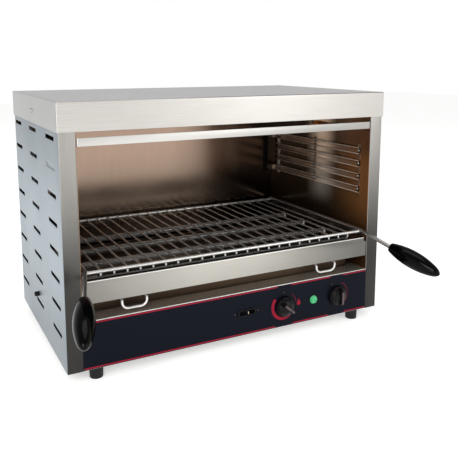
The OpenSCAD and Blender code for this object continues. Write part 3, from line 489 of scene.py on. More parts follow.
def bent(sheet: Surface, line: Array, plane: tuple[Axis, Axis], along: Axis) -> Surface:
    """Bends a flat sheet round a line of folds: its first coordinate runs along the line.

    Args:
        sheet: The flat sheet.
        line: Points of the folded line, in two dimensions.
        plane: The axes of the line's two dimensions.
        along: The axis that the sheet's second coordinate runs along.

    Returns:
        The folded sheet.
    """
    points = np.zeros_like(sheet.points)
    for axis, column in zip(plane, line.T):
        points[:, axis.value] = np.interp(sheet.points[:, 0], lengths(line), column)
    points[:, along.value] = sheet.points[:, 1]
    return Surface(points, sheet.faces)


def folded(line: Array, plane: tuple[Axis, Axis], along: Axis, span: Pair) -> Surface:
    """A sheet folded along parallel lines, which runs from span[0] to span[1] on the axis along."""
    return bent(pierced(lengths(line), np.array(span, float)), line, plane, along)


# ---- finishes


def linear(colour: str) -> tuple[float, float, float, float]:
    """Turns an sRGB hex colour such as #C0C0C0 to a linear one with full alpha."""
    channels = np.array([int(colour[i:i + 2], 16) for i in (1, 3, 5)]) / 255
    bent_part = ((channels + 0.055) / 1.055) ** 2.4
    return (*np.where(channels <= 0.04045, channels / 12.92, bent_part).tolist(), 1.0)


class Shading:
    """A node tree that is being built."""

    def __init__(self, tree: bpy.types.NodeTree) -> None:
        """Starts with an empty tree."""
        self.tree = tree
        self.tree.nodes.clear()

    def add(self, kind: str, inputs: dict[str | int, Any] | None = None, **settings: Any) -> bpy.types.Node:
        """Adds a node.

        Args:
            kind: The node's type name.
            inputs: For each input by name or number, its value, the socket to link from, or a node
                whose first output is linked.
            settings: Values of the node's own properties.

        Returns:
            The new node.
        """
        node = self.tree.nodes.new(kind)
        for name, value in settings.items():
            setattr(node, name, value)
        for key, value in (inputs or {}).items():
            source = value.outputs[0] if isinstance(value, bpy.types.Node) else value
            if isinstance(source, bpy.types.NodeSocket):
                self.tree.links.new(source, node.inputs[key])
            else:
                node.inputs[key].default_value = source
        return node


@dataclass(frozen=True)
class Falloff:
    """A change along one axis, from full within a plateau about a centre to a least value at some reach
    from it."""

    axis: Axis
    centre_mm: float
    reach_mm: float
    least: float = 0.0
    plateau_mm: float = 0.0

    def factor(self, shading: Shading, place: bpy.types.NodeSocket) -> bpy.types.Node:
        """The value: a smooth step over the distance from the centre."""
        parts = shading.add("ShaderNodeSeparateXYZ", {0: place})
        gap = shading.add("ShaderNodeMath", {0: parts.outputs[self.axis.value], 1: self.centre_mm * MM},
                          operation="SUBTRACT")
        distance = shading.add("ShaderNodeMath", {0: gap}, operation="ABSOLUTE")
        return shading.add("ShaderNodeMapRange", {
            "Value": distance, "From Min": self.plateau_mm * MM, "From Max": self.reach_mm * MM,
            "To Min": 1.0, "To Max": self.least}, interpolation_type="SMOOTHSTEP")


@dataclass(frozen=True)
class Finish:
    """A finish that a material is made from, once for each name."""

    name: str

    def material(self) -> bpy.types.Material:
        """The material, made the first time that it is asked for."""
        known = bpy.data.materials.get(self.name)
        if known:
            return known
        made = bpy.data.materials.new(self.name)
        made.use_nodes = True
        shading = Shading(made.node_tree)
        shading.add("ShaderNodeOutputMaterial", {"Surface": self.shade(shading)})
        return made

    def shade(self, shading: Shading) -> bpy.types.Node:
        """Adds this finish's nodes and returns its shader."""
        raise NotImplementedError


@dataclass(frozen=True)
class BrushedSteel(Finish):
    """Stainless steel sheet, belt-brushed along one axis.

    Fine parallel scratches darken and lighten the sheet in streaks and spread its reflections across
    them. The scratches of a real belt are 0.05 mm wide; they are drawn coarser so that they show.
    """

    colour: str = "#C6C4C0"
    tint: str = "#B3B0AB"
    grain: Axis = Axis.X
    scratch_mm: float = 0.7
    scratch_length_mm: float = 70.0
    smudge_mm: float = 130.0
    roughness: float = 0.32
    streak: float = 0.12
    # Painted shade: a fall-off that darkens the colour away from its centre.
    painted_shade: Falloff | None = None

    def shade(self, shading: Shading) -> bpy.types.Node:
        """Streaked noise for the scratches, and wide soft noise for handling marks."""
        place = shading.add("ShaderNodeTexCoord").outputs["Object"]
        scale = self.grain.spread(1 / (self.scratch_length_mm * MM), 1 / (self.scratch_mm * MM))
        along = shading.add("ShaderNodeMapping", {"Vector": place, "Scale": scale})
        scratch = shading.add("ShaderNodeTexNoise", {"Vector": along, "Scale": 1.0, "Detail": 3.0})
        smudge = shading.add("ShaderNodeTexNoise", {
            "Vector": place, "Scale": 1 / (self.smudge_mm * MM), "Detail": 2.0})
        streaks = shading.add("ShaderNodeMapRange", {
            "Value": scratch, "From Min": 0.25, "From Max": 0.75, "To Min": 1 - self.streak, "To Max": 1.0})
        base = shading.add("ShaderNodeMix", {0: smudge, 6: linear(self.tint), 7: linear(self.colour)},
                           data_type="RGBA")
        colour = shading.add("ShaderNodeVectorMath", {0: base.outputs[2], 1: streaks}, operation="MULTIPLY")
        # Painted shade: the colour is darkened away from the fall-off's centre.
        if self.painted_shade:
            colour = shading.add("ShaderNodeVectorMath", {0: colour, 1: self.painted_shade.factor(shading, place)},
                                 operation="MULTIPLY")
        rough = shading.add("ShaderNodeMapRange", {
            "Value": scratch, "From Min": 0.2, "From Max": 0.8, "To Min": self.roughness - 0.06,
            "To Max": self.roughness + 0.07})
        bump = shading.add("ShaderNodeBump", {"Height": scratch, "Strength": 0.25, "Distance": 0.02 * MM})
        return shading.add("ShaderNodeBsdfPrincipled", {
            "Base Color": colour, "Metallic": 1.0, "Roughness": rough, "Normal": bump})


@dataclass(frozen=True)
class HeatTintedSteel(Finish):
    """Stainless chamber sheet that years of radiant heat have tinted.

    The oxide film turns straw and copper brown where the heat is strongest and stays grey elsewhere, in
    soft clouds that run along the sheet. Painted shade can darken it away from a centre, and a painted
    reflection can blend it towards a pale colour in a band.
    """

    cool: str = "#6E6660"
    hot: str = "#B58E76"
    axis: Axis = Axis.X
    cool_at_mm: float = 250.0
    hot_at_mm: float = -250.0
    grain: Axis = Axis.Z
    scratch_mm: float = 0.9
    scratch_length_mm: float = 80.0
    cloud_mm: float = 90.0
    roughness: float = 0.18
    metallic: float = 1.0
    # Painted shade: a fall-off that darkens the tint away from its centre.
    painted_shade: Falloff | None = None
    # Painted reflection: a pale colour blended in where the fall-offs of the next field are all high.
    reflection_colour: str = "#F2E8DA"
    painted_reflection: tuple[Falloff, ...] = ()

    def shade(self, shading: Shading) -> bpy.types.Node:
        """A tint that changes along one axis, moved by wide noise, under fine brushing, with painted shade
        and a painted reflection where they are given.
        """
        place = shading.add("ShaderNodeTexCoord").outputs["Object"]
        parts = shading.add("ShaderNodeSeparateXYZ", {0: place})
        ramp = shading.add("ShaderNodeMapRange", {
            "Value": parts.outputs[self.axis.value], "From Min": self.cool_at_mm * MM,
            "From Max": self.hot_at_mm * MM}, interpolation_type="SMOOTHSTEP")
        cloud = shading.add("ShaderNodeTexNoise", {
            "Vector": place, "Scale": 1 / (self.cloud_mm * MM), "Detail": 3.0})
        drift = shading.add("ShaderNodeMath", {0: cloud, 1: 0.5, 2: -0.25}, operation="MULTIPLY_ADD")
        heat = shading.add("ShaderNodeMath", {0: ramp, 1: drift}, operation="ADD", use_clamp=True)
        tint: Any = shading.add("ShaderNodeMix", {0: heat, 6: linear(self.cool), 7: linear(self.hot)},
                                data_type="RGBA").outputs[2]
        # Painted shade: darker away from the fall-off's centre.
        if self.painted_shade:
            tint = shading.add("ShaderNodeVectorMath", {0: tint, 1: self.painted_shade.factor(shading, place)},
                               operation="MULTIPLY")
        # Painted reflection: the product of the fall-offs blends the tint towards a pale colour.
        share: Any = 1.0
        for falloff in self.painted_reflection:
            share = shading.add("ShaderNodeMath", {0: share, 1: falloff.factor(shading, place)},
                                operation="MULTIPLY")
        if self.painted_reflection:
            tint = shading.add("ShaderNodeMix", {0: share, 6: tint, 7: linear(self.reflection_colour)},
                               data_type="RGBA").outputs[2]
        scale = self.grain.spread(1 / (self.scratch_length_mm * MM), 1 / (self.scratch_mm * MM))
        along = shading.add("ShaderNodeMapping", {"Vector": place, "Scale": scale})
        scratch = shading.add("ShaderNodeTexNoise", {"Vector": along, "Scale": 1.0, "Detail": 2.0})
        streaks = shading.add("ShaderNodeMapRange", {"Value": scratch, "To Min": 0.84, "To Max": 1.08})
        colour = shading.add("ShaderNodeVectorMath", {0: tint, 1: streaks}, operation="MULTIPLY")
        rough = shading.add("ShaderNodeMapRange", {
            "Value": cloud, "To Min": self.roughness - 0.06, "To Max": self.roughness + 0.06})
        bump = shading.add("ShaderNodeBump", {"Height": scratch, "Strength": 0.15, "Distance": 0.02 * MM})
        return shading.add("ShaderNodeBsdfPrincipled", {
            "Base Color": colour, "Metallic": self.metallic, "Roughness": rough, "Normal": bump})


@dataclass(frozen=True)
class PlatedWire(Finish):
    """Nickel-chromed steel wire: bright and slightly uneven where it was drawn and plated."""

    colour: str = "#D5D3D0"
    dull: str = "#8C857D"
    roughness: float = 0.2
    patch_mm: float = 6.0
    metallic: float = 1.0

    def shade(self, shading: Shading) -> bpy.types.Node:
        """Bright plate with small dulled patches."""
        place = shading.add("ShaderNodeTexCoord").outputs["Object"]
        patch = shading.add("ShaderNodeTexNoise", {
            "Vector": place, "Scale": 1 / (self.patch_mm * MM), "Detail": 4.0})
        share = shading.add("ShaderNodeMapRange", {
            "Value": patch, "From Min": 0.5, "From Max": 0.8, "To Max": 0.6})
        tint = shading.add("ShaderNodeMix", {0: share, 6: linear(self.colour), 7: linear(self.dull)},
                           data_type="RGBA")
        rough = shading.add("ShaderNodeMapRange", {
            "Value": patch, "To Min": self.roughness - 0.06, "To Max": self.roughness + 0.14})
        return shading.add("ShaderNodeBsdfPrincipled", {
            "Base Color": tint.outputs[2], "Metallic": self.metallic, "Roughness": rough})


@dataclass(frozen=True)
class MouldedPlastic(Finish):
    """Moulded plastic, such as phenolic for grips and knobs or nylon for glands: a coloured dielectric
    whose skin has a faint orange peel or spark-eroded grain."""

    colour: str = "#141416"
    worn: str = "#1E1E20"
    roughness: float = 0.22
    grain_mm: float = 1.2
    wear_mm: float = 18.0
    relief_mm: float = 0.02
    gloss: float = 0.25

    def shade(self, shading: Shading) -> bpy.types.Node:
        """Fine grain in the relief and the gloss, and a slow change in the colour."""
        place = shading.add("ShaderNodeTexCoord").outputs["Object"]
        grain = shading.add("ShaderNodeTexNoise", {
            "Vector": place, "Scale": 1 / (self.grain_mm * MM), "Detail": 3.0})
        wear = shading.add("ShaderNodeTexNoise", {
            "Vector": place, "Scale": 1 / (self.wear_mm * MM), "Detail": 2.0})
        tint = shading.add("ShaderNodeMix", {0: wear, 6: linear(self.colour), 7: linear(self.worn)},
                           data_type="RGBA")
        rough = shading.add("ShaderNodeMapRange", {
            "Value": wear, "To Min": self.roughness - 0.04, "To Max": self.roughness + 0.08})
        bump = shading.add("ShaderNodeBump", {
            "Height": grain, "Strength": 0.4, "Distance": self.relief_mm * MM})
        return shading.add("ShaderNodeBsdfPrincipled", {
            "Base Color": tint.outputs[2], "IOR": 1.5, "Specular IOR Level": self.gloss,
            "Roughness": rough, "Normal": bump})


@dataclass(frozen=True)
class PrintedFilm(Finish):
    """Polyester overlay film, printed on its back: a deep even colour under a satin, finely textured face."""

    colour: str = "#0D101B"
    roughness: float = 0.32
    grain_mm: float = 0.9

    def shade(self, shading: Shading) -> bpy.types.Node:
        """An even ink with the film's velvet texture in the relief, and a slight change of ink density."""
        place = shading.add("ShaderNodeTexCoord").outputs["Object"]
        grain = shading.add("ShaderNodeTexNoise", {
            "Vector": place, "Scale": 1 / (self.grain_mm * MM), "Detail": 2.0})
        ink = shading.add("ShaderNodeMapRange", {"Value": grain, "To Min": 0.88, "To Max": 1.12})
        colour = shading.add("ShaderNodeVectorMath", {0: linear(self.colour)[:3], 1: ink},
                             operation="MULTIPLY")
        bump = shading.add("ShaderNodeBump", {"Height": grain, "Strength": 0.3, "Distance": 0.015 * MM})
        return shading.add("ShaderNodeBsdfPrincipled", {
            "Base Color": colour, "IOR": 1.55, "Specular IOR Level": 0.06, "Roughness": self.roughness,
            "Normal": bump})


@dataclass(frozen=True)
class DrawnQuartz(Finish):
    """Fused quartz tube: clear and almost smooth, with faint lines along it from drawing."""

    colour: str = "#F6F6F4"
    roughness: float = 0.1
    line_mm: float = 1.5
    line_length_mm: float = 60.0

    def shade(self, shading: Shading) -> bpy.types.Node:
        """Light mostly passes through, and the drawn lines change the gloss."""
        place = shading.add("ShaderNodeTexCoord").outputs["Object"]
        scale = Axis.X.spread(1 / (self.line_length_mm * MM), 1 / (self.line_mm * MM))
        along = shading.add("ShaderNodeMapping", {"Vector": place, "Scale": scale})
        lines = shading.add("ShaderNodeTexNoise", {"Vector": along, "Scale": 1.0, "Detail": 2.0})
        rough = shading.add("ShaderNodeMapRange", {
            "Value": lines, "To Min": self.roughness - 0.08, "To Max": self.roughness + 0.1})
        return shading.add("ShaderNodeBsdfPrincipled", {
            "Base Color": linear(self.colour), "IOR": 1.46, "Roughness": rough, "Transmission Weight": 0.93})


@dataclass(frozen=True)
class Ceramic(Finish):
    """Unglazed steatite or similar: matt, chalky and finely speckled."""

    colour: str = "#E9E4D8"
    speck: str = "#CFC7B6"
    roughness: float = 0.7
    speck_mm: float = 1.2

    def shade(self, shading: Shading) -> bpy.types.Node:
        """Fine specks in the colour and the relief."""
        place = shading.add("ShaderNodeTexCoord").outputs["Object"]
        speck = shading.add("ShaderNodeTexNoise", {
            "Vector": place, "Scale": 1 / (self.speck_mm * MM), "Detail": 4.0})
        tint = shading.add("ShaderNodeMix", {0: speck, 6: linear(self.speck), 7: linear(self.colour)},
                           data_type="RGBA")
        bump = shading.add("ShaderNodeBump", {"Height": speck, "Strength": 0.3, "Distance": 0.05 * MM})
        return shading.add("ShaderNodeBsdfPrincipled", {
            "Base Color": tint.outputs[2], "Roughness": self.roughness, "Normal": bump})


@dataclass(frozen=True)
class SignalLens(Finish):
    """Transparent green acrylic over a pale diffuser, with painted highlights mottled over its facets
    and a faint, even painted glow.
    """

    colour: str = "#12904C"
    # Painted highlights: the facets are mottled towards this paler green.
    lit: str = "#6BE8A6"
    # Painted glow: an even faint emission of this colour over the whole lens.
    glow: str = "#1E9A55"
    facet_mm: float = 3.2

    def shade(self, shading: Shading) -> bpy.types.Node:
        """Coloured plastic that passes some light, with painted highlights mottled at the pitch of its facets
        and a faint, even painted glow.
        """
        place = shading.add("ShaderNodeTexCoord").outputs["Object"]
        facet_highlights = shading.add("ShaderNodeTexVoronoi", {"Vector": place, "Scale": 1 / (self.facet_mm * MM)})
        tint = shading.add("ShaderNodeMix", {0: facet_highlights, 6: linear(self.lit), 7: linear(self.colour)},
                           data_type="RGBA")
        return shading.add("ShaderNodeBsdfPrincipled", {
            "Base Color": tint.outputs[2], "IOR": 1.49, "Roughness": 0.12, "Transmission Weight": 0.3,
            "Emission Color": linear(self.glow), "Emission Strength": 0.25})


class Finishes:
    """The finishes of this machine, by what they are on."""

    COVER = BrushedSteel("brushed_steel_cover", colour="#D2CFCA", tint="#C4C0BB", streak=0.2, roughness=0.38)
    # Painted shade: the cover's top and end faces take darker copies of the front's steel; the ends are also brushed
    # along Y.
    COVER_TOP_SHADE = BrushedSteel("shaded_cover_top", colour="#BDBABB", tint="#ADABAB")
    COVER_ENDS_SHADE = BrushedSteel("shaded_cover_ends", colour="#BDBDBA", tint="#AEAEAC", grain=Axis.Y)
    # Painted shade: a darker copy of the side sheet's steel for its faces that look along Y, darkest towards the
    # bottom.
    COLUMN = BrushedSteel("brushed_steel_columns", colour="#B7B4AF", tint="#A09D98", grain=Axis.Z,
                          streak=0.16, painted_shade=Falloff(Axis.Z, 430.0, 300.0, 0.12))
    # The side faces of the same sheet, lighter and bluish: painted light, darker away from a height of 250 mm as
    # painted shade.
    SIDE = BrushedSteel("satin_steel_sides", colour="#B2BCC3", tint="#98A3AB", grain=Axis.Z, streak=0.07,
                        roughness=0.42, painted_shade=Falloff(Axis.Z, 250.0, 260.0, 0.62))
    REAR = BrushedSteel("satin_steel_rear", colour="#B9C0C4", tint="#A8AEB2", streak=0.08, roughness=0.42)
    # Painted shade: darker away from x = -40 mm, towards both ends of the apron.
    GUARD = BrushedSteel("brushed_steel_guards", colour="#C3C0B8", tint="#B3B0A9", streak=0.1,
                         painted_shade=Falloff(Axis.X, -40.0, 350.0, 0.3))
    # Painted shade: darker away from x = -150 mm, most towards the right end.
    BAR = BrushedSteel("bright_steel_bar", colour="#D4D2CE", tint="#CAC7C2", streak=0.05, roughness=0.4,
                       painted_shade=Falloff(Axis.X, -150.0, 360.0, 0.62))
    # Painted shadow: the apron's top flange is near black, for the dark gap behind the apron.
    APRON_TOP_SHADOW = BrushedSteel("painted_shadow_flange", colour="#1E1713", tint="#14100D", roughness=0.5)
    BASE = BrushedSteel("mill_steel_base", colour="#9B9996", tint="#8B8986", roughness=0.45)
    FASCIA = BrushedSteel("brushed_steel_fascia", colour="#BDBAB5", tint="#A9A6A1")
    # The copper brown is partly heat tint and partly a painted reflection; painted shade darkens it towards the right.
    BACK_WALL = HeatTintedSteel("heat_tint_and_reflection_back", cool="#7F6E60", hot="#A88F7E", axis=Axis.Z,
                                cool_at_mm=180.0, hot_at_mm=400.0,
                                painted_shade=Falloff(Axis.X, -290.0, 500.0, 0.22, plateau_mm=280.0))
    # Browner towards the front, partly heat tint and partly painted light from the mouth; painted shade darker above
    # and below a height of 272 mm; a painted reflection, a pale streak about y = 42 mm, highest round z = 340 mm.
    RIGHT_WALL = HeatTintedSteel("heat_tint_and_reflection_right", cool="#4A3A28", hot="#9C6A3E", axis=Axis.Y,
                                 cool_at_mm=20.0, hot_at_mm=-110.0, metallic=0.6,
                                 painted_shade=Falloff(Axis.Z, 272.0, 90.0, 0.3, plateau_mm=25.0),
                                 painted_reflection=(Falloff(Axis.Y, 42.0, 60.0),
                                         Falloff(Axis.Z, 340.0, 140.0, plateau_mm=55.0)))
    LEFT_WALL = HeatTintedSteel("heat_tinted_left", cool="#7A6455", hot="#A08C7C", axis=Axis.Z,
                                cool_at_mm=150.0, hot_at_mm=400.0, grain=Axis.Y)
    CEILING = HeatTintedSteel("heat_tinted_ceiling", cool="#7D7067", hot="#A9968A", grain=Axis.X)
    # Painted highlight: pale rods along the apron's top edge and the floor's lip.
    LIP = PlatedWire("sheet_edge_highlights", colour="#F4F1EC", dull="#DCD6CC", roughness=0.35, metallic=0.7)
    FLOOR = HeatTintedSteel("heat_tinted_floor", cool="#B0AA9C", hot="#B8AC9E", grain=Axis.Y, roughness=0.2,
                            metallic=0.72)
    # Browner towards the front; a painted reflection, a pale streak about y = 28 mm across the channels.
    GUIDES = HeatTintedSteel("heat_tint_and_reflection_guides", cool="#A8907E", hot="#A4734C", axis=Axis.Y,
                             cool_at_mm=0.0, hot_at_mm=-110.0, grain=Axis.Y, metallic=0.6,
                             painted_reflection=(Falloff(Axis.Y, 28.0, 58.0),))
    # Painted highlight: the beads along the channels' lips are pale.
    BEADS = PlatedWire("guide_edge_highlights", colour="#EDE3D6", dull="#BDA793", roughness=0.3, metallic=0.5)
    POSTS = PlatedWire("tinted_steel_posts", colour="#8E7C6B", dull="#5E4E41", roughness=0.34, metallic=0.8)
    # Painted highlight: the rear posts are a much paler copy of the posts' steel.
    REAR_POST = PlatedWire("rear_post_highlights", colour="#F0E6DA", dull="#8E7F70", roughness=0.28,
                           patch_mm=3.0, metallic=0.4)
    RIVETS = PlatedWire("steel_rivets", colour="#E4DDD2", dull="#B5A999", roughness=0.22, patch_mm=3.0,
                        metallic=0.6)
    WIRE = PlatedWire("chromed_wire", colour="#C2BEBA", dull="#7A736C", metallic=0.8)
    RAIL = PlatedWire("chromed_rails", colour="#D9D7D4", dull="#9A948D", roughness=0.24, patch_mm=10.0,
                      metallic=0.75)
    # Painted highlight: pale short rods just ahead of the wires' dropped front ends.
    WIRE_END = PlatedWire("wire_end_glints", colour="#F6F5F3", dull="#DAD7D2", roughness=0.35, patch_mm=2.0,
                          metallic=0.3)
    WELD = PlatedWire("plated_welds", colour="#E8E6E2", dull="#B8B2AA", roughness=0.3, patch_mm=2.0,
                      metallic=0.5)
    # Painted shade: the tie rail is near black, for the dark gap under the rack's front rail.
    TIE = MouldedPlastic("painted_shade_wire", colour="#0A0807", worn="#0F0C0A", roughness=0.6, gloss=0.1)
    HANDLE = PlatedWire("chromed_rod", colour="#B4B0AD", dull="#8A8581", roughness=0.1, patch_mm=30.0,
                        metallic=0.9)
    LOOP = PlatedWire("bright_plated_loops", colour="#F2F1EE", dull="#D8D5D0", roughness=0.3, metallic=0.5)
    RUNNER = BrushedSteel("brushed_steel_runners", colour="#A79F95", tint="#8F877E", grain=Axis.Y)
    # Dark brown all over.
    TRAY = HeatTintedSteel("dark_brown_aluminised_tray", cool="#4A3B2E", hot="#3E3024", grain=Axis.Y,
                           roughness=0.34, metallic=0.7)
    # Near black.
    BLACK_STEEL = MouldedPlastic("near_black_steel", colour="#080706", worn="#0E0C0A", roughness=0.5,
                                 gloss=0.1)
    QUARTZ = DrawnQuartz("satin_quartz")
    COIL = PlatedWire("resistance_wire", colour="#453B34", dull="#28221E", roughness=0.4, patch_mm=3.0)
    CERAMIC = Ceramic("steatite")
    INSULATION = Ceramic("mineral_wool", colour="#D8CFB8", speck="#B8AE94", roughness=0.95)
    GRIP = MouldedPlastic("glossy_phenolic", colour="#020203", worn="#050506", roughness=0.09,
                          relief_mm=0.004, gloss=0.1)
    KNOB = MouldedPlastic("satin_phenolic", colour="#060607", worn="#0C0C0E", roughness=0.26, gloss=0.16)
    GLAND = MouldedPlastic("black_gland_nylon", colour="#131416", worn="#1B1C1F", roughness=0.4)
    SWITCH = MouldedPlastic("black_nylon", colour="#0C0D0F", worn="#131416", roughness=0.35, gloss=0.1)
    RUBBER = MouldedPlastic("black_rubber", colour="#0E0E10", worn="#1A1A1C", roughness=0.55, relief_mm=0.05)
    # Painted highlights: two pale lines along the edges of each knob's bar.
    EDGE_HIGHLIGHT = MouldedPlastic("knob_edge_highlights", colour="#9E878C", worn="#8A7378", roughness=0.5)
    MARK_INK = MouldedPlastic("pale_mark_ink", colour="#F2DCC4", worn="#E8CDB0", roughness=0.5)
    RED_INK = MouldedPlastic("red_ink", colour="#A11D35", worn="#8B182D", roughness=0.4, gloss=0.1)
    PINK_INK = MouldedPlastic("pink_ink", colour="#8A5A66", worn="#7A4C58", roughness=0.5)
    OVERLAY = PrintedFilm("overlay_film")
    # Painted highlights mottled over the facets, and a faint even painted glow.
    LENS = SignalLens("green_lens")
    SCREW = PlatedWire("zinc_plated_screw", colour="#B9B9B6", dull="#84837F", roughness=0.3, patch_mm=4.0)
    COPPER = PlatedWire("copper_tube", colour="#B8764A", dull="#7D4E30", roughness=0.3)
    TERMINAL = MouldedPlastic("ivory_nylon", colour="#E6E1D3", worn="#D8D2C2", roughness=0.45)
    CONTROL = MouldedPlastic("grey_phenolic_case", colour="#B9B4A8", worn="#A8A396", roughness=0.5)
    CABLE = MouldedPlastic("silicone_sleeve", colour="#2B2B2E", worn="#38383B", roughness=0.6)


# ---- pieces


@dataclass(frozen=True)
class Box:
    """Lowest and highest corners of a piece of the construction, in millimetres."""

    low: Array
    high: Array

    @classmethod
    def of(cls, node: str) -> Box:
        """The box of a node at rest."""
        low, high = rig.box(node)
        return cls(np.array(low) / MM, np.array(high) / MM)

    @property
    def centre(self) -> Array:
        """The middle of the box."""
        return (self.low + self.high) / 2

    @property
    def half(self) -> Array:
        """Half the size of the box."""
        return (self.high - self.low) / 2


def linked(name: str, data: bpy.types.ID) -> bpy.types.Object:
    """A new object in the scene."""
    obj = bpy.data.objects.new(name, data)
    bpy.context.scene.collection.objects.link(obj)
    return obj


def meshed(name: str, surface: Surface, closed: bool) -> bpy.types.Object:
    """An object from a surface, with its doubles merged and, if it is closed, its faces turned outwards."""
    mesh = bpy.data.meshes.new(name)
    mesh.from_pydata((surface.points * MM).tolist(), [], surface.faces.tolist())
    obj = linked(name, mesh)
    work = bmesh.new()
    work.from_mesh(mesh)
    bmesh.ops.remove_doubles(work, verts=work.verts, dist=DOUBLE_MM * MM)
    bmesh.ops.dissolve_degenerate(work, dist=SPECK_MM * MM, edges=work.edges)
    if closed:
        bmesh.ops.recalc_face_normals(work, faces=work.faces)
    work.to_mesh(mesh)
    work.free()
    return obj


def round_edges(obj: bpy.types.Object, radius: float) -> None:
    """Rounds an object's sharp edges by a radius in millimetres."""
    bevel = obj.modifiers.new("edge", "BEVEL")
    bevel.width, bevel.segments, bevel.angle_limit = radius * MM, 2, EDGE_ANGLE


def put(name: str, surface: Surface, finish: Finish, node: str | None = None, slot: str | None = None,
        body: Body = Body.CASING, thickness: float = 0.0, edge: float = 0.0, crease: float = 32.0,
        by_face: dict[Axis, Finish] | None = None, fused: Surface | None = None) -> bpy.types.Object:
    """Makes a piece from a surface and hands it to the frame.

    Args:
        name: Name of the piece.
        surface: Its surface, in millimetres.
        finish: Its finish.
        node: The construction's node that it stands for.
        slot: The record's material slot that it takes its finish from.
        body: What it moves with.
        thickness: Sheet thickness to give an open surface, on its inner side.
        edge: Radius to give sharp edges.
        crease: Angle in degrees above which an edge stays sharp in the shading.
        by_face: Other finishes for the faces that look mostly along an axis.
        fused: A second closed surface to make one with the first.

    Returns:
        The finished object.
    """
    obj = meshed(name, surface, closed=thickness == 0)
    if fused:
        tool = meshed(f"{name}_tool", fused, closed=True)
        union = obj.modifiers.new("union", "BOOLEAN")
        union.operation, union.object, union.solver = "UNION", tool, "EXACT"
        apply_modifiers(obj)
        bpy.data.objects.remove(tool)
    if thickness:
        solid = obj.modifiers.new("sheet", "SOLIDIFY")
        solid.thickness, solid.offset, solid.use_even_offset = thickness * MM, -1.0, True
    if edge:
        round_edges(obj, edge)
    if obj.modifiers:
        apply_modifiers(obj)
    for entry in (finish, *(by_face or {}).values()):
        obj.data.materials.append(entry.material())
    normals = np.zeros(len(obj.data.polygons) * 3, np.float32)
    obj.data.polygons.foreach_get("normal", normals)
    normals = np.abs(normals.reshape(-1, 3))
    chosen = np.zeros(len(normals), np.int32)
    for number, axis in enumerate(by_face or {}, start=1):
        chosen[normals[:, axis.value] > 0.7] = number
    obj.data.polygons.foreach_set("material_index", chosen)
    obj.data.shade_smooth()
    obj.data.set_sharp_from_angle(angle=math.radians(crease))
    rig.ride(obj, body.value)
    if node:
        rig.replaces(obj, node)
        compare(obj, node)
    if slot:
        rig.slot(obj, slot)
    LOG.info("%s: %d faces on %s", name, len(obj.data.polygons), body.value)
    return obj


def apply_modifiers(obj: bpy.types.Object) -> None:
    """Replaces an object's mesh by what its modifiers make of it."""
    bpy.context.view_layer.update()
    evaluated = obj.evaluated_get(bpy.context.evaluated_depsgraph_get())
    done = bpy.data.meshes.new_from_object(evaluated)
    old = obj.data
    obj.modifiers.clear()
    obj.data = done
    bpy.data.meshes.remove(old)


def compare(obj: bpy.types.Object, node: str) -> None:
    """Warns where a piece's box is a millimetre or more from the box of the node it stands for."""
    low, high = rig.box(node)
    points = np.zeros(len(obj.data.vertices) * 3, np.float32)
    obj.data.vertices.foreach_get("co", points)
    points = points.reshape(-1, 3)
    gap = np.concatenate([points.min(0) - np.array(low), np.array(high) - points.max(0)]) / MM
    if np.abs(gap).max() >= 1:
        LOG.warning("%s lies inside %s by %s mm", obj.name, node, np.round(gap, 2).tolist())


def dress(nodes: dict[str, bpy.types.Object], name: str, finish: Finish, edge: float = 0.0) -> None:
    """Gives a node of the construction its finish.

    Args:
        nodes: The construction's nodes.
        name: The node.
        finish: Its finish.
        edge: Radius to give its sharp edges, in millimetres.
    """
    node = nodes[name]
    for slot in node.material_slots:
        slot.material = finish.material()
    if edge:
        node.modifiers.new("weld", "WELD").merge_threshold = SPECK_MM * MM
        round_edges(node, edge)
    LOG.info("%s: %s", name, finish.name)


# ---- studio


@dataclass(frozen=True)
class Lamp:
    """A soft rectangular lamp that faces a point."""

    name: str
    place: Triple
    size: Pair
    power: float
    colour: str = "#FFFFFF"


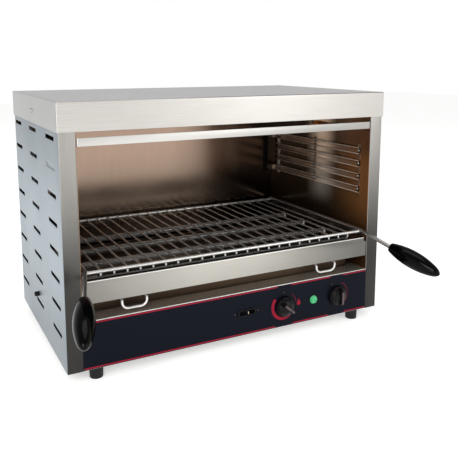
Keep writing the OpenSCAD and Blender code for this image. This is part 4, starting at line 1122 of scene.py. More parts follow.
@dataclass
class Studio:
    """A pale floor, soft lamps and the camera."""

    eye: Triple = (-0.535, -1.095, 0.523)
    yaw: float = 0.4836
    pitch: float = 0.1554
    focal_pixels: float = 637.2
    optical_row: float = 160.0
    sensor_mm: float = 36.0
    aim: Triple = (0.0, 0.05, 0.23)
    sky: float = 0.62
    sky_in_gloss: Pair = (0.95, 0.3)
    floor_side: float = 14.0
    floor_colour: str = "#F1F1F0"
    floor_lift: float = 0.41
    lamps: tuple[Lamp, ...] = (
        Lamp("key_lamp", (-1.6, -1.9, 1.8), (1.6, 1.2), 36.0),
        Lamp("fill_lamp", (1.3, -2.15, 0.9), (1.1, 1.2), 10.6),
        Lamp("top_lamp", (0.2, 0.2, 2.6), (1.8, 1.4), 14.0),
        Lamp("strip_lamp", (-1.07, -1.36, 0.27), (0.5, 0.8), 3.6),
    )

    def camera(self) -> None:
        """The camera: its height, turn and tilt give the view, and its shift the framing."""
        data = bpy.data.cameras.new("camera")
        data.sensor_width = self.sensor_mm
        data.lens = self.focal_pixels / IMAGE_SIDE * self.sensor_mm
        data.shift_y = -(IMAGE_SIDE / 2 - self.optical_row) / IMAGE_SIDE
        data.clip_start, data.clip_end = 0.05, 50.0
        camera = linked("camera", data)
        camera.location = self.eye
        camera.rotation_euler = (math.pi / 2 - self.pitch, 0.0, -self.yaw)
        bpy.context.scene.camera = camera

    def light(self) -> None:
        """Soft lamps that each face the object."""
        for lamp in self.lamps:
            data = bpy.data.lights.new(lamp.name, "AREA")
            data.shape, data.size, data.size_y = "RECTANGLE", *lamp.size
            data.energy, data.color = lamp.power, linear(lamp.colour)[:3]
            obj = linked(lamp.name, data)
            obj.location = lamp.place
            from_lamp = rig.Vector(self.aim) - obj.location
            obj.rotation_euler = from_lamp.to_track_quat("-Z", "Y").to_euler()

    def world(self) -> None:
        """An even soft sky: white to the camera and through glass, and in gloss darker above."""
        world = bpy.data.worlds.new("studio")
        bpy.context.scene.world = world
        world.use_nodes = True
        shading = Shading(world.node_tree)
        ray = shading.add("ShaderNodeLightPath")
        place = shading.add("ShaderNodeTexCoord").outputs["Generated"]
        height = shading.add("ShaderNodeSeparateXYZ", {0: place}).outputs[2]
        low, high = self.sky_in_gloss
        gloss = shading.add("ShaderNodeMapRange", {
            "Value": height, "From Min": 0.05, "From Max": 0.75, "To Min": low, "To Max": high},
            interpolation_type="SMOOTHSTEP")
        lit = shading.add("ShaderNodeMix", {0: ray.outputs["Is Glossy Ray"], 2: self.sky, 3: gloss})
        seen = shading.add("ShaderNodeMath", {
            0: ray.outputs["Is Camera Ray"], 1: ray.outputs["Is Transmission Ray"]}, operation="MAXIMUM")
        level = shading.add("ShaderNodeMix", {0: seen, 2: lit, 3: 1.0})
        sky = shading.add("ShaderNodeBackground", {"Color": (1.0, 1.0, 1.0, 1.0), "Strength": level})
        shading.add("ShaderNodeOutputWorld", {"Surface": sky})

    def floor(self) -> None:
        """A plain pale floor, lifted towards white for the camera and in gloss."""
        half = self.floor_side / 2
        corners = [(-half, -half, 0.0), (half, -half, 0.0), (half, half, 0.0), (-half, half, 0.0)]
        mesh = bpy.data.meshes.new("floor")
        mesh.from_pydata(corners, [], [(0, 1, 2, 3)])
        floor = linked("floor", mesh)
        material = bpy.data.materials.new("pale_floor")
        material.use_nodes = True
        shading = Shading(material.node_tree)
        ray = shading.add("ShaderNodeLightPath")
        seen = shading.add("ShaderNodeMath", {
            0: ray.outputs["Is Camera Ray"], 1: ray.outputs["Is Glossy Ray"]}, operation="MAXIMUM")
        lift = shading.add("ShaderNodeMath", {0: seen, 1: self.floor_lift}, operation="MULTIPLY")
        paint = shading.add("ShaderNodeBsdfDiffuse", {"Color": linear(self.floor_colour)})
        glow = shading.add("ShaderNodeEmission", {"Strength": lift})
        both = shading.add("ShaderNodeAddShader", {0: paint, 1: glow})
        shading.add("ShaderNodeOutputMaterial", {"Surface": both})
        floor.data.materials.append(material)
        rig.stage(floor)

    def build(self) -> None:
        """Sets up the whole studio."""
        bpy.context.scene.view_settings.view_transform = "Standard"
        self.camera()
        self.light()
        self.world()
        self.floor()


# ---- casing


@dataclass
class Screws:
    """Pan-head screws with a cross recess."""

    head_d: float = 8.5
    head_h: float = 2.6
    rim_share: float = 0.35
    shank_d: float = 4.0
    tip: float = 0.5
    recess_w: float = 1.0
    recess_l: float = 4.4
    recess_deep: float = 1.3
    recess_wall: Pair = (0.62, 0.14)
    around: int = 48

    def surface(self, base: Vector, axis: Vector, length: float) -> Surface:
        """One screw.

        The head's outline is a quarter of an ellipse, and a point of it sinks by the recess's depth
        where it lies within the cross, that is, near one of two bars through the axis.

        Args:
            base: The point on the screw's axis under its head.
            axis: Direction from the shank to the head.
            length: Length of the shank.

        Returns:
            The closed surface.
        """
        radius, shank_r = self.head_d / 2, self.shank_d / 2
        rim_h, dome_h = self.head_h * self.rim_share, self.head_h * (1 - self.rim_share)
        turn = np.linspace(0, np.pi / 2, 7)[:3]
        rim = np.stack([radius * np.cos(turn), rim_h + dome_h * np.sin(turn)], -1)
        inner = np.linspace(rim[-1, 0], 0, 12)[1:]
        top = np.stack([inner, rim_h + dome_h * np.sqrt(1 - (inner / radius) ** 2)], -1)
        shank = [[0, -length], [shank_r - self.tip, -length], [shank_r, self.tip - length], [shank_r, 0],
                 [radius - 0.1, 0], [radius, 0.1]]
        outline = np.repeat(np.concatenate([shank, rim, top])[:, None], self.around, axis=1)
        x, y = np.moveaxis(np.abs(outline[..., :1] * circle(1.0, self.around)), -1, 0)
        near = np.minimum(np.maximum(x / self.recess_l, y / self.recess_w),
                          np.maximum(y / self.recess_l, x / self.recess_w))
        edge, width = self.recess_wall
        sink = self.recess_deep * np.clip((edge - near) / width, 0, 1)
        outline[..., 1] -= np.where(outline[..., 1] > self.head_h * 0.6, sink, 0)
        return turned(outline, base, axis, self.around)


@dataclass
class Casing:
    """The cover, the side, rear and base panels, the feet and what is fixed to them."""

    nodes: dict[str, bpy.types.Object]
    cover_t: float = 1.2
    cover_fold: float = 1.8
    cover_rim: float = 12.0
    cover_edge: float = 0.3
    seam_at: float = 0.5
    seam_w: float = 0.7
    seam_deep: float = 0.9
    seam_fade: Pair = (2.5, 3.5)
    sheet_t: float = 1.0
    panel_fold: float = 1.5
    panel_flange: float = 15.0
    column_return: float = 12.0
    slot_half: Pair = (31.0, 3.5)
    slot_r: float = 2.0
    slot_columns: tuple[float, ...] = (60.5, 200.5, 340.5)
    slot_rows: int = 8
    slot_top: float = 12.6
    slot_pitch: float = 46.8
    slot_reach: Pair = (37.0, 8.0)
    top_flange_gap: Pair = (1.2, 4.0)
    foot_r: float = 12.0
    foot_rim: float = 1.5
    foot_taper: float = 0.6
    foot_pocket: Pair = (5.0, 5.5)
    screw_l: float = 8.0
    screws: Screws = field(default_factory=Screws)

    def cover(self) -> None:
        """The cover: one folded sheet whose skirt has an open seam beside each corner.

        A section from the middle of the top, round the fold, down the skirt and back up inside is
        carried round the outline. On each end face, four points beside the corner sink to a groove,
        which fades out below the fold.
        """
        box = Box.of("top_cover")
        half, height = box.half[:2], box.high[2] - box.low[2]
        fold, t, rim, edge = self.cover_fold, self.cover_t, self.cover_rim, self.cover_edge
        turn = np.linspace(0, np.pi / 2, 6)[:, None]
        fade = [[0, height - fold - down] for down in self.seam_fade]
        outer = np.concatenate([[[half[1], height], [rim, height]],
                                fold * np.concatenate([1 - np.sin(turn), np.cos(turn) - 1], 1) + [0, height],
                                fade, [[0, edge], [edge, 0]]])
        inner = np.concatenate([[[t - edge, 0], [t, edge], [t, height - fold]],
                                (fold - t) * np.concatenate([1 - np.cos(turn), np.sin(turn) - 1], 1)
                                + [t, height - t], [[rim, height - t], [half[1], height - t]]])
        section = np.concatenate([outer, inner])
        on_skirt = np.zeros((len(section), 1))
        on_skirt[len(outer) - 3:len(outer)] = 1.0
        flat = rectangle(np.maximum(half - section[:, :1], 0), np.clip(fold - section[:, 0], 0, None))
        arcs = np.split(flat, 4, axis=1)
        marks = self.seam_at + np.array([0.0, 0.1, self.seam_w - 0.1, self.seam_w])
        sink = on_skirt * np.array([0, self.seam_deep, self.seam_deep, 0])
        groups = {}
        for right, rear in ((1, 1), (-1, 1), (-1, -1), (1, -1)):
            corner = (half - np.array([0, fold]) - section[:, :1] * [1, 0]
                      - np.maximum(section[:, :1] - fold, 0) * [0, 1])
            x = np.maximum(corner[:, :1], 0) - sink
            y = np.maximum(corner[:, 1:] - marks, 0)
            groups[right, rear] = np.stack([right * x, rear * y], axis=-1)
        ring = np.concatenate([groups[1, 1][:, ::-1], arcs[0], arcs[1], groups[-1, 1],
                               groups[-1, -1][:, ::-1], arcs[2], arcs[3], groups[1, -1]], axis=1)
        shell = grid(raised(ring, section[:, 1]) + [*box.centre[:2], box.low[2]], closed=True)
        # The front faces take the lightest copy of the steel, the end and top faces darker ones: painted shade.
        put("cover_shell", shell, Finishes.COVER, "top_cover", "cover_steel",
            by_face={Axis.X: Finishes.COVER_ENDS_SHADE, Axis.Z: Finishes.COVER_TOP_SHADE})
        _, y, z = Box.of("cover_screws").centre
        for side, x, out in (("left", box.low[0], (-1, 0, 0)), ("right", box.high[0], (1, 0, 0))):
            put(f"{side}_cover_screw", self.screws.surface((x, y, z), out, self.screw_l), Finishes.SCREW,
                "cover_screws", "screw_steel")

    def side_panels(self) -> None:
        """The side panels: each one sheet folded into a return, a front column, the side with its slots
        and a rear flange, with a loose flange along its top."""
        box = Box.of("right_side_panel")
        (x0, y0, z0), (x1, y1, z1) = box.low, box.high
        line = filleted([(x0, y0 + self.column_return), (x0, y0), (x1, y0), (x1, y1),
                         (x1 - self.panel_flange, y1)], self.panel_fold)
        run = lengths(line)
        folded_twice = 2 * (ARC_STEPS + 1)
        columns = run[folded_twice] - (line[folded_twice, 1] - y0) + np.array(self.slot_columns)
        rows = Box.of("top_cover").low[2] - self.slot_top - self.slot_pitch * np.arange(self.slot_rows)[::-1]
        reach_u, reach_v = self.slot_reach
        us = np.unique(np.round(np.concatenate([run, lines_with_blocks(0, run[-1], columns, reach_u)]), 6))
        vs = lines_with_blocks(z0, z1, rows, reach_v)
        outline = slot_outline(self.slot_half, self.slot_r)
        holes = [(np.array([u, v]), outline) for u in columns for v in rows]
        sheet = bent(pierced(us, vs, holes), line, (Axis.X, Axis.Y), Axis.Z)
        gap_x, gap_y = self.top_flange_gap
        flange = folded(np.array([(x1 - gap_x, z1), (x1 - self.panel_flange, z1)]), (Axis.X, Axis.Z), Axis.Y,
                        (y1 - gap_y, y0 + gap_y))
        for side in SIDES:
            # One sheet in two copies of its steel: the faces that look along Y take the darker one, painted shade.
            put(f"{side}_side_sheet", on_side(side, joined([sheet, flange])), Finishes.SIDE,
                f"{side}_side_panel", "side_steel", thickness=self.sheet_t, edge=0.2,
                by_face={Axis.Y: Finishes.COLUMN})

    def feet(self) -> None:
        """Rubber feet: a turned outline with a rounded lower rim and a screw pocket underneath."""
        box = Box.of("feet")
        height, radius, taper = box.high[2], self.foot_r, self.foot_taper
        pocket, deep = self.foot_pocket
        turn = np.linspace(0, np.pi / 2, 5)[:, None]
        rim = (np.concatenate([np.sin(turn), 1 - np.cos(turn)], 1) * self.foot_rim
               + [radius - taper - self.foot_rim, 0])
        outline = np.concatenate([[[0, deep], [pocket - 0.5, deep], [pocket, deep - 0.5], [pocket, 0.4],
                                   [pocket + 0.4, 0]], rim,
                                  [[radius, height - 1], [radius - taper, height], [0, height]]])
        xs, ys = ((box.low[i] + radius, box.high[i] - radius) for i in (0, 1))
        feet = [turned(outline, (x, y, 0), (0, 0, 1), 40) for x in xs for y in ys]
        put("rubber_feet", joined(feet), Finishes.RUBBER, "feet", "foot_rubber")

    def fixings(self) -> None:
        """The rear screws and the black pegs on the sides."""
        box, y, radius = Box.of("rear_screws"), Box.of("rear_panel").high[1], self.screws.head_d / 2
        (x0, _, z0), (x1, _, z1) = box.low + radius, box.high - radius
        heads = [self.screws.surface((x, y, z), (0, 1, 0), self.screw_l)
                 for x in (x0, x1) for z in np.linspace(z0, z1, 3)]
        put("rear_panel_screws", joined(heads), Finishes.SCREW, "rear_screws", "screw_steel")
        peg = Box.of("side_pegs")
        x = Box.of("right_side_panel").high[0]
        out = peg.high[0] - x
        outline = np.array([[0, -3.5], [2, -3.5], [2, 0], [4.5, 0], [4.5, out - 1.4], [4.1, out - 0.5],
                            [3.4, out], [1.2, out], [0.9, out - 0.8], [0, out - 0.8]])
        pegs = both_sides(turned(outline, (x, *peg.centre[1:]), (1, 0, 0), 32))
        put("side_stop_pegs", pegs, Finishes.SWITCH, "side_pegs", "switch_plastic")

    def build(self) -> None:
        """Makes the casing's pieces and dresses the rest."""
        self.cover()
        self.side_panels()
        self.feet()
        self.fixings()
        dress(self.nodes, "rear_panel", Finishes.REAR, edge=0.25)
        dress(self.nodes, "base_plate", Finishes.BASE)
        dress(self.nodes, "slot_backing_plates", Finishes.SIDE)
        dress(self.nodes, "foot_studs", Finishes.SCREW)


# ---- chamber


@dataclass
class Chamber:
    """The chamber's sheets, its guards across the mouth and what hangs on its walls."""

    nodes: dict[str, bpy.types.Object]
    guard_t: float = 1.5
    guard_fold: float = 2.2
    guard_tab: float = 13.5
    guard_gap: float = 0.5
    hem_d: float = 2.0
    lip: Pair = (0.6, 0.85)
    flange: float = 12.0
    flange_inset: float = 4.0
    notch: float = 8.0
    levels: int = 4
    level_pitch: float = 26.2
    channel: Pair = (5.0, 13.0)
    channel_fold: float = 1.3
    bead_d: float = 1.5
    bead_in: float = 0.5
    post_over: float = 6.0
    post_w: float = 9.0
    post_hole_r: float = 2.0
    post_hole_reach: float = 3.4
    rivet_r: float = 2.1
    strip: Triple = (25.0, 13.0, 2.0)
    strip_edge: float = 0.4
    strip_fold: float = 1.6
    hook_h: float = 12.0
    runner_h: float = 12.0
    sheet_t: float = 1.0
    screw_l: float = 3.0
    screws: Screws = field(default_factory=Screws)

    def bar(self) -> None:
        """The upper guard bar: a strip folded back at both ends along the walls."""
        box = Box.of("upper_guard_bar")
        x, y = box.high[0] - self.guard_gap, box.low[1]
        line = filleted([(x, y + self.guard_tab), (x, y), (-x, y), (-x, y + self.guard_tab)],
                        self.guard_fold)
        put("mouth_bar", folded(line, (Axis.X, Axis.Y), Axis.Z, (box.high[2], box.low[2])), Finishes.BAR,
            "upper_guard_bar", "guard_steel", thickness=self.guard_t, edge=0.35)

    def apron(self) -> None:
        """The lower guard rail: a plate with a flange folded back along its top and a tab at each end.

        The flat blank is a grid of cells without its corners. Across the blank, the fold lines of the
        tabs give X and a part of Y, and up the blank, the fold line of the flange gives Z and the other
        part of Y.
        """
        box = Box.of("lower_guard_rail")
        x, y, bottom, top = box.high[0] - self.guard_gap, box.low[1], box.low[2], box.high[2]
        across = filleted([(x, self.guard_tab), (x, 0.0), (-x, 0.0), (-x, self.guard_tab)], self.guard_fold)
        up = filleted([(0.0, bottom), (0.0, top), (self.flange, top)], self.guard_fold)
        run, rise = lengths(across), lengths(up)
        inset, notch = run[ARC_STEPS + 1] + self.flange_inset, top - bottom - self.notch
        us = np.unique(np.concatenate([run, [inset, run[-1] - inset]]))
        vs = np.unique(np.concatenate([rise, [notch]]))
        middle_u, middle_v = (us[1:] + us[:-1]) / 2, (vs[1:] + vs[:-1]) / 2
        keep = ((middle_u > inset) & (middle_u < run[-1] - inset)) | (middle_v < notch)[:, None]
        blank = pierced(us, vs, keep=keep)
        u, v = blank.points[:, 0], blank.points[:, 1]
        points = np.stack([np.interp(u, run, across[:, 0]),
                           y + np.interp(u, run, across[:, 1]) + np.interp(v, rise, up[:, 0]),
                           np.interp(v, rise, up[:, 1])], axis=-1)
        # Faces that look up, the flange's top, are near black: painted shadow.
        put("mouth_apron", Surface(points, blank.faces[:, ::-1]), Finishes.GUARD,
            "lower_guard_rail", "guard_steel", thickness=self.guard_t, edge=0.35,
            by_face={Axis.Z: Finishes.APRON_TOP_SHADOW})
        # A pale rod along the apron's top edge: painted highlight on the fold.
        reach = x - self.guard_fold - self.flange_inset
        hem = np.array([(end, y + self.hem_d / 2, top - self.hem_d / 2) for end in (-reach, reach)])
        put("apron_hem", round_bar(hem, self.hem_d, 12), Finishes.LIP, "lower_guard_rail",
            "guard_steel")

    def guides(self) -> None:
        """Channels with their open side to the chamber and beaded lips, riveted on three pierced posts."""
        box = Box.of("right_side_guide")
        (x0, y0, z0), (x1, y1, z1) = box.low, box.high
        bottoms = z0 + self.post_over + self.level_pitch * np.arange(self.levels)
        depth, height = self.channel
        section = filleted([(x0, 0), (x0 + depth, 0), (x0 + depth, height), (x0, height)],
                           self.channel_fold, 4)
        channel = folded(section, (Axis.X, Axis.Z), Axis.Y, (y0, y1))
        half = self.post_w / 2
        ys = (y0 + half, (y0 + y1) / 2, y1 - half)
        gaps = bottoms[:-1] + (height + self.level_pitch) / 2
        up = lines_with_blocks(z0, z1, gaps, self.post_hole_reach)
        posts = []
        for y in ys:
            across = lines_with_blocks(y - half, y + half, np.array([y]), self.post_hole_reach)
            flat = pierced(across, up, [(np.array([y, z]), hole_outline(self.post_hole_r)) for z in gaps])
            posts.append(Surface(flat.points[:, [2, 0, 1]] + [x1, 0, 0], flat.faces))
        dome = np.array([[0, -1.6], [1.2, -1.6], [1.2, 0], [self.rivet_r, 0], [self.rivet_r * 0.85, 0.45],
                         [self.rivet_r * 0.5, 0.75], [0, 0.85]])
        rivets = [turned(dome, (x0 + depth - 1, y, z + height / 2), (-1, 0, 0), 12)
                  for y in ys for z in bottoms]
        bead_x = x0 + self.bead_d / 2
        beads = [round_bar(np.array([(bead_x, y0, z + rise), (bead_x, y1, z + rise)]), self.bead_d, 8)
                 for z in bottoms for rise in (self.bead_in, height - self.bead_in)]
        # The beads and the rear post are pale: painted highlights.
        parts = (("channels", [moved(channel, (0, 0, z)) for z in bottoms], Finishes.GUIDES, self.sheet_t),
                 ("beads", beads, Finishes.BEADS, 0.0), ("posts", posts[:2], Finishes.POSTS, self.sheet_t),
                 ("rear_post", posts[2:], Finishes.REAR_POST, self.sheet_t),
                 ("rivets", rivets, Finishes.RIVETS, 0.0))
        for side in SIDES:
            for part, shapes, finish, sheet in parts:
                put(f"{side}_guide_{part}", on_side(side, joined(shapes)), finish,
                    f"{side}_side_guide", "guide_steel", thickness=sheet, edge=0.15 if sheet else 0.0)

    def end_brackets(self) -> None:
        """The upright strips on the back wall, and the bent hooks that hold the guides' rear ends."""
        box = Box.of("guide_end_brackets")
        (_, y0, z0), (x1, y1, z1) = box.low, box.high
        inset, width, t = self.strip
        edge = np.array([self.strip_edge])
        x = x1 - inset
        upright = np.array([(x + width / 2, y1 - t / 2, z) for z in (z0, z1)])
        strip = swept(upright, rectangle(np.array([[width / 2, t / 2]]), edge, 3)[0], (1, 0, 0))
        put("guide_end_strips", both_sides(strip), Finishes.BLACK_STEEL, "guide_end_brackets",
            "black_steel")
        bend = x + width - t / 2
        route = filleted([(bend, y1 - t, 0), (bend, y0 + t / 2, 0), (x1, y0 + t / 2, 0)], self.strip_fold, 4)
        hook = swept(route, rectangle(np.array([[self.hook_h / 2, t / 2]]), edge, 3)[0], (0, 0, 1))
        heights = (z0 + self.post_over + self.hook_h / 2, z1 - self.post_over - self.hook_h / 2)
        put("guide_end_hooks", both_sides(joined([moved(hook, (0, 0, z)) for z in heights])), Finishes.POSTS,
            "guide_end_brackets", "guide_steel")

    def runners(self) -> None:
        """The rack's runners: angles folded from strip."""
        box = Box.of("right_rack_runner")
        (x0, y0, _), (x1, y1, top) = box.low, box.high
        line = filleted([(x0, top), (x1, top), (x1, top - self.runner_h)], self.strip_fold)
        angle = folded(line, (Axis.X, Axis.Z), Axis.Y, (y0, y1))
        for side in SIDES:
            put(f"{side}_runner_angle", on_side(side, angle), Finishes.RUNNER,
                f"{side}_rack_runner", "guide_steel", thickness=self.sheet_t, edge=0.2)

    def fixings(self) -> None:
        """The screws through the guards' tabs."""
        box, radius = Box.of("guard_screws"), self.screws.head_d / 2
        x = Box.of("upper_guard_bar").high[0] - self.guard_gap - self.guard_t
        heads = [self.screws.surface((x, box.centre[1], z), (-1, 0, 0), self.screw_l)
                 for z in (box.low[2] + radius, box.high[2] - radius)]
        put("mouth_screws", both_sides(joined(heads)), Finishes.SCREW, "guard_screws",
            "screw_steel")

    def build(self) -> None:
        """Makes the guards, guides and runners, and dresses the sheets."""
        self.bar()
        self.apron()
        self.guides()
        self.end_brackets()
        self.runners()
        self.fixings()
        for name, finish in {"chamber_left_wall": Finishes.LEFT_WALL,
                             "chamber_right_wall": Finishes.RIGHT_WALL,
                             "chamber_back_wall": Finishes.BACK_WALL, "ceiling_reflector": Finishes.CEILING,
                             "roof_insulation": Finishes.INSULATION}.items():
            dress(self.nodes, name, finish)
        x, _, z = Box.of("chamber_floor").high
        y, (behind, below) = Box.of("chamber_floor").low[1], self.lip
        hem = np.array([(end, y + behind, z - below) for end in (-x, x)])
        # A pale rod along the floor's front lip: painted highlight.
        put("floor_lip_hem", round_bar(hem, self.hem_d, 12), Finishes.LIP, slot="chamber_steel")
        dress(self.nodes, "chamber_floor", Finishes.FLOOR, edge=0.35)


# ---- heating tubes


@dataclass
class HeatingTubes:
    """Quartz tubes with a wound coil in each, in ceramic caps."""

    nodes: dict[str, bpy.types.Object]
    wall: float = 1.25
    edge: float = 0.4
    count: int = 4
    coil_r: float = 2.85
    wire_d: float = 1.2
    turn_pitch: float = 3.4
    points_a_turn: int = 9
    lead: float = 12.0
    end_gap: float = 0.5

    def rows(self) -> dict[str, tuple[float, Array]]:
        """Height and the depths of the axes of each row."""
        found = {}
        for row in ("upper", "lower"):
            box = Box.of(f"{row}_quartz_tubes")
            radius = box.half[2]
            found[row] = (box.centre[2], np.linspace(box.low[1] + radius, box.high[1] - radius, self.count))
        return found

    def coil(self, half: float) -> Surface:
        """A coil about X: a helix whose radius eases to nothing in the lead at each end, with a section
        of five sides."""
        turns = round(2 * (half - self.lead) / self.turn_pitch)
        tip = half - self.end_gap
        x = np.linspace(-tip, tip, turns * self.points_a_turn)
        ease = np.clip((tip - np.abs(x)) / self.lead, 0, 1)
        radius = self.coil_r * ease * ease * (3 - 2 * ease)
        turn = 2 * np.pi * np.arange(len(x)) / self.points_a_turn
        path = np.stack([x, radius * np.cos(turn), radius * np.sin(turn)], axis=-1)
        return swept(path, circle(self.wire_d / 2, 5), (1.0, 0.02, 0.03))

    def build(self) -> None:
        """Makes the tubes and coils, and dresses the caps and their strips."""
        box = Box.of("upper_quartz_tubes")
        half, outer, edge = box.high[0], box.half[2], self.edge
        inner = outer - self.wall
        end = [[inner, -half + edge], [inner + edge, -half], [outer - edge, -half], [outer, -half + edge]]
        tube = np.array([*end, *[[radius, -x] for radius, x in end[::-1]], end[0]])
        coil = self.coil(half)
        for row, (z, ys) in self.rows().items():
            tubes = joined([turned(tube, (0, y, z), (1, 0, 0), 28) for y in ys])
            put(f"{row}_tubes", tubes, Finishes.QUARTZ, f"{row}_quartz_tubes", "quartz")
            coils = joined([moved(coil, (0, y, z)) for y in ys])
            put(f"{row}_coils", coils, Finishes.COIL, "heating_coils", "coil_wire", crease=60)
            dress(self.nodes, f"{row}_tube_caps", Finishes.CERAMIC, edge=0.4)
        dress(self.nodes, "tube_retainers", Finishes.BASE)


# ---- rack


@dataclass
class Rack:
    """The pull-out rack: wires and rails, side rods that run on as the handles' rods, and grips."""

    wires: int = 23
    wire_d: float = 3.5
    rail_d: float = 6.0
    rod_d: float = 8.0
    drop: float = 8.0
    drop_bend: float = 3.2
    # Painted highlight rod at each wire's end: how far ahead, and how far above and below the drop.
    end_highlight: Triple = (0.9, 2.0, 1.5)
    wire_weld: Triple = (2.3, 1.5, 2.0)
    corner_weld: Triple = (1.6, 2.6, 2.4)
    bend_behind: float = 4.96
    splay: float = 15.9
    droop: float = 16.0
    bend_r: float = 20.0
    rod_after_bend: float = 73.0
    grip_l: float = 109.0
    grip_d: float = 34.0
    collar_d: float = 17.5
    body_l: float = 101.0
    round_from: float = 92.0
    socket: float = 58.0

    def frame(self) -> tuple[Array, Array, Array]:
        """Where the right rod's bend starts, the corner of its axes, and the handle's direction."""
        splay, droop = math.radians(self.splay), math.radians(self.droop)
        bend = math.acos(math.cos(splay) * math.cos(droop))
        roll = math.atan2(math.tan(droop), math.sin(splay))
        reach = self.bend_r * math.tan(bend / 2)
        rear = Box.of("right_handle_rod")
        start = np.array([rear.low[0] + self.rod_d / 2,
                          Box.of("rack_grid").low[1] + self.rail_d / 2 + self.bend_behind,
                          rear.high[2] - self.rod_d / 2])
        direction = np.array([math.sin(bend) * math.cos(roll), -math.cos(bend),
                              -math.sin(bend) * math.sin(roll)])
        return start, start - [0, reach, 0], direction

    def grid_wires(self) -> None:
        """Wires that run from the rear rail to behind the front one and drop there to a tie rail."""
        box = Box.of("rack_grid")
        front, rear = box.low[1] + self.rail_d / 2, box.high[1] - self.rail_d / 2
        z = box.high[2] - self.rail_d / 2
        inside = Box.of("right_handle_rod").low[0]
        xs = -inside + 2 * inside / (self.wires + 1) * np.arange(1, self.wires + 1)
        tick = front + (self.rail_d + self.wire_d) / 2
        line = filleted([(0, rear, z), (0, tick, z), (0, tick, z - self.drop)], self.drop_bend, 5)
        wire = round_bar(line, self.wire_d, 10, domed=False)
        # Short pale rods just ahead of each wire's drop: painted highlights.
        ahead, start, past = self.end_highlight
        line = np.array([(0, tick - ahead, z - start), (0, tick - ahead, z - self.drop - past)])
        end = round_bar(line, self.wire_d, 10)
        welds = [blob((x, y, z), self.wire_weld)
                 for x in xs for y in (front + self.rail_d / 2 - 0.2, rear - self.rail_d / 2 + 0.2)]
        welds += [blob((x, y, z + 1.2), self.corner_weld) for x in (-inside, inside) for y in (front, rear)]
        rails = [round_bar(np.array([(-box.high[0], y, z), (box.high[0], y, z)]), self.rail_d, 20,
                           domed=False) for y in (front, rear)]
        # The tie rail is near black: painted shade.
        tie = np.array([(xs[0] - 6, tick, z - self.drop), (xs[-1] + 6, tick, z - self.drop)])
        for part, shapes, finish, crease in (
                ("wires", [moved(wire, (x, 0, 0)) for x in xs], Finishes.WIRE, 50),
                ("painted_end_glints", [moved(end, (x, 0, 0)) for x in xs], Finishes.WIRE_END, 50),
                ("welds", welds, Finishes.WELD, 60), ("rails", rails, Finishes.RAIL, 50),
                ("tie_rail", [round_bar(tie, self.wire_d, 12)], Finishes.TIE, 50)):
            put(f"rack_{part}", joined(shapes), finish, "rack_grid", "chrome_wire", Body.RACK, crease=crease)

    def handles(self) -> None:
        """Each side rod in one piece with its handle rod, and the grip turned about its end."""
        start, corner, direction = self.frame()
        rear = Box.of("right_handle_rod").high[1]
        bend_end = corner + direction * np.linalg.norm(start - corner)
        tip = bend_end + direction * (self.rod_after_bend + self.socket)
        path = filleted([(start[0], rear, start[2]), corner, tip], self.bend_r, 12)
        rod = round_bar(path, self.rod_d, 24)
        base = bend_end + direction * self.rod_after_bend
        shape = turned(self.grip_outline(), base, direction, 40)
        for side in SIDES:
            put(f"{side}_rod", on_side(side, rod), Finishes.HANDLE, f"{side}_handle_rod", "chrome_wire",
                Body.RACK, crease=50)
            put(f"{side}_handle_grip", on_side(side, shape), Finishes.GRIP, f"{side}_grip", "grip_plastic",
                Body.RACK, crease=40)

    def grip_outline(self) -> Array:
        """Half outline of a grip: a long arc between collar and tip, which the factor
        sqrt(1 - q ** 3.6) rounds off over the last part, and the bore that the rod fills."""
        sagitta = (self.grip_d - self.collar_d) / 2
        belly = ((self.body_l / 2) ** 2 + sagitta ** 2) / (2 * sagitta)
        share = np.sin(np.linspace(0, np.pi / 2, 40))
        s = 0.9 + (self.grip_l - 0.9) * share
        arc = self.grip_d / 2 - belly + np.sqrt(belly ** 2 - (s - self.body_l / 2) ** 2)
        q = np.clip((s - self.round_from) / (self.grip_l - self.round_from), 0, 1)
        bore = self.rod_d / 2 + RUNNING_GAP
        mouth = self.collar_d / 2
        inner = [[0, self.socket + 0.3], [bore, self.socket + 0.3], [bore, 0.9], [bore + 0.8, 0.1],
                 [mouth - 0.9, 0.0], [mouth - 0.25, 0.3]]
        return np.concatenate([inner, np.stack([arc * np.sqrt(1 - q ** 3.6), s], -1)])

    def build(self) -> None:
        """Makes the rack's pieces."""
        self.grid_wires()
        self.handles()


# ---- crumb drawer


